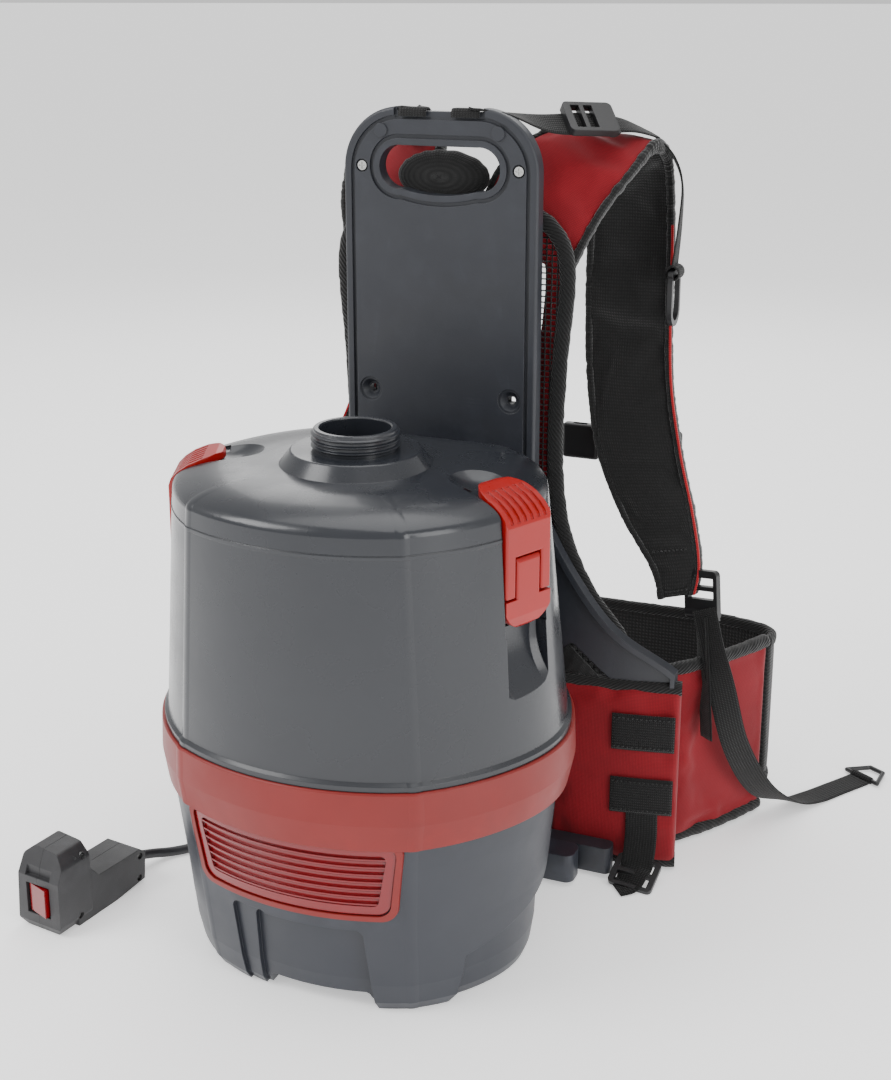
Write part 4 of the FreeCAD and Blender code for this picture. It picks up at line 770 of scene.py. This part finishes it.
def eye(name, centre, axis, radius, width, thick=WEB_THICK):
    """Webbing sewn round a bar."""
    axis = axis.normalized()
    first = axis.orthogonal().normalized()
    second = axis.cross(first)
    line = [centre + (first * math.cos(a) + second * math.sin(a)) * radius
            for a in (2 * math.pi * k / 20 for k in range(21))]
    return settle(strap(name, line, [axis] * 21, width, thick, WEBBING), WEB_SLOT)


for side, sign in (("right", 1), ("left", -1)):
    turned = [(sign * a, b, c) for a, b, c in LIFTER_ACROSS]
    lift = webbing("load_strap_" + side, LIFTER[side], turned, 0.022, twin=False)
    turned = [(sign * a, b, c) for a, b, c in TAIL_ACROSS]
    tail = webbing("lifter_tail_" + side, TAIL[side], turned, 0.018, twin=False)
    eye("lifter_eye_" + side, RING_AT[side], Vector((0, 1, 0)), 0.0054, 0.0178)
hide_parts("load_webbing")
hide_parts("lifter_tails")

anchor = webbing("anchor_strap_right", [V(190.8, 235.5, 192), V(197, 226, 150), V(203.5, 217, 96)],
                 [(0.6, -0.8, 0)] * 3, 0.022)
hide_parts("strap_webbing")
FLOOR_TAIL = [V(193, 233.0, 200), V(203, 224, 172), V(213, 222, 138), V(224, 236, 84), V(240, 268, 34),
              V(258, 304, 9), V(273, 329, 2.6), V(290, 357, 1.4), V(306, 381.5, 1.4)]
FLOOR_ACROSS = [(0.95, -0.3, 0.1), (0.95, -0.3, 0.1), (0.9, 0.2, 0.2), (0.75, 0.4, 0.45), (0.72, -0.1, 0.55),
                (0.8, -0.45, 0.2), (0.85, -0.53, 0), (0.85, -0.53, 0), (0.85, -0.53, 0)]
floor_tail = webbing("strap_tail_right", FLOOR_TAIL, FLOOR_ACROSS, 0.022)
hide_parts("strap_tails")
for sign, side in ((1, "right"), (-1, "left")):
    eye("triangle_eye_" + side, V(sign * 307.6, 384.2, 3.1), Vector((sign * 0.85, -0.53, 0)), 0.0028, 0.0215,
        0.0008)
chest = webbing("chest_strap_right", [V(88.2, 282.5, 314), V(119, 283, 314), V(150, 282.5, 314)],
                [(0, 0, 1)] * 3, 0.020, twin=False)
webbing("chest_strap_left", [V(-130, 282.5, 314), V(-50, 284.5, 313), V(31, 282.5, 314)],
        [(0, 0, 1)] * 3, 0.020, twin=False)
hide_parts("chest_webbing")

# The load straps' ends, folded over the top of the plate.
LOAD_TAB = [(146.4, 585), (146.8, 589), (148.6, 591), (153.5, 591)]
for sign, side in ((1, "right"), (-1, "left")):
    webbing("load_tab_" + side, [V(sign * 21, y, z) for y, z in LOAD_TAB], [(1, 0, 0)] * 4, 0.022, twin=False)
# Webbing showing through the slot in the hip frame's wing.
lean = [V(104, 160.2, 184), V(129, 161.4, 160), V(88, 159, 160), V(86, 159, 164)]
slot_web = make("wing_webbing_right", lean + [p - V(0, 1.4, 0) for p in lean],
                [(0, 1, 2, 3), (7, 6, 5, 4), (0, 4, 5, 1), (1, 5, 6, 2), (2, 6, 7, 3), (3, 7, 4, 0)],
                [[(p.x + p.z, p.x - p.z) for p in lean]] * 2 + [[(0, 0)] * 4] * 4, [WEBBING])
both_sides(slot_web, WEB_SLOT)


def neck_roll():
    """Gathered roll of padding on top of the back pad."""
    verts, faces, uvs = [], [], []
    rows, around = 48, 96
    for i in range(rows + 1):
        tilt = math.pi * i / rows
        for j in range(around):
            turn = 2 * math.pi * j / around
            gather = math.sin(turn * 17 + 2 * math.sin(3 * turn))
            fold = 1 + 0.018 * gather * math.sin(tilt) * max(0.0, math.sin(turn))
            out = math.sin(tilt) ** 0.8
            verts.append(V(-6 + 37 * out * math.cos(turn) * fold, 171 - 8.8 * math.cos(tilt),
                           540 + 19.5 * out * math.sin(turn) * fold))
    for i in range(rows):
        for j in range(around):
            k = (j + 1) % around
            faces.append([i * around + j, i * around + k, (i + 1) * around + k, (i + 1) * around + j])
            uvs.append([(j * 0.002, i * 0.001), (j * 0.002 + 0.002, i * 0.001),
                        (j * 0.002 + 0.002, i * 0.001 + 0.001), (j * 0.002, i * 0.001 + 0.001)])
    roll_piece = make("neck_roll_pad", verts, faces, uvs, [KNIT])
    settle(roll_piece, slots["pad_binding"], "pad_binding")


neck_roll()


# ---------------------------------------------------------------- lead

lead_curve.materials.append(CABLE)
settle(lead, slots["lead"], "lead")


# ---------------------------------------------------------------- studio

def stage_plane(name, size, material):
    data = bpy.data.meshes.new(name)
    half = size / 2
    corners = [(-half, -half, 0), (half, -half, 0), (half, half, 0), (-half, half, 0)]
    data.from_pydata(corners, [], [(0, 1, 2, 3)])
    data.materials.append(material)
    obj = bpy.data.objects.new(name, data)
    bpy.context.collection.objects.link(obj)


paper, _, paper_shader = new_material("paper", Roughness=0.9, Specular_IOR_Level=0.1)
paper_shader.inputs["Base Color"].default_value = (0.95, 0.95, 0.95, 1)
paper_shader.inputs["Emission Color"].default_value = (1, 1, 1, 1)
paper_shader.inputs["Emission Strength"].default_value = 0.55
stage_plane("floor", 400, paper)


def soft_light(name, place, target, size, power):
    lamp = bpy.data.lights.new(name, "AREA")
    lamp.shape = "RECTANGLE"
    lamp.size, lamp.size_y = size
    lamp.energy = power
    obj = bpy.data.objects.new(name, lamp)
    obj.location = place
    obj.rotation_euler = (Vector(target) - Vector(place)).to_track_quat("-Z", "Y").to_euler()
    bpy.context.collection.objects.link(obj)


MIDDLE = (0, 0.08, 0.28)
soft_light("key", (-1.5, -1.2, 1.9), MIDDLE, (1.2, 1.2), 34)
soft_light("fill", (2.1, -0.9, 1.1), MIDDLE, (0.9, 1.8), 22)
soft_light("top", (0.1, 0.3, 2.4), MIDDLE, (2.2, 1.8), 26)
soft_light("back", (-0.6, 2.0, 1.5), MIDDLE, (1.8, 1.2), 16)
world = bpy.data.worlds.new("studio")
bpy.context.scene.world = world
world.use_nodes = True
world.node_tree.nodes["Background"].inputs["Color"].default_value = (1.0, 1.0, 1.0, 1)
world.node_tree.nodes["Background"].inputs["Strength"].default_value = 0.8
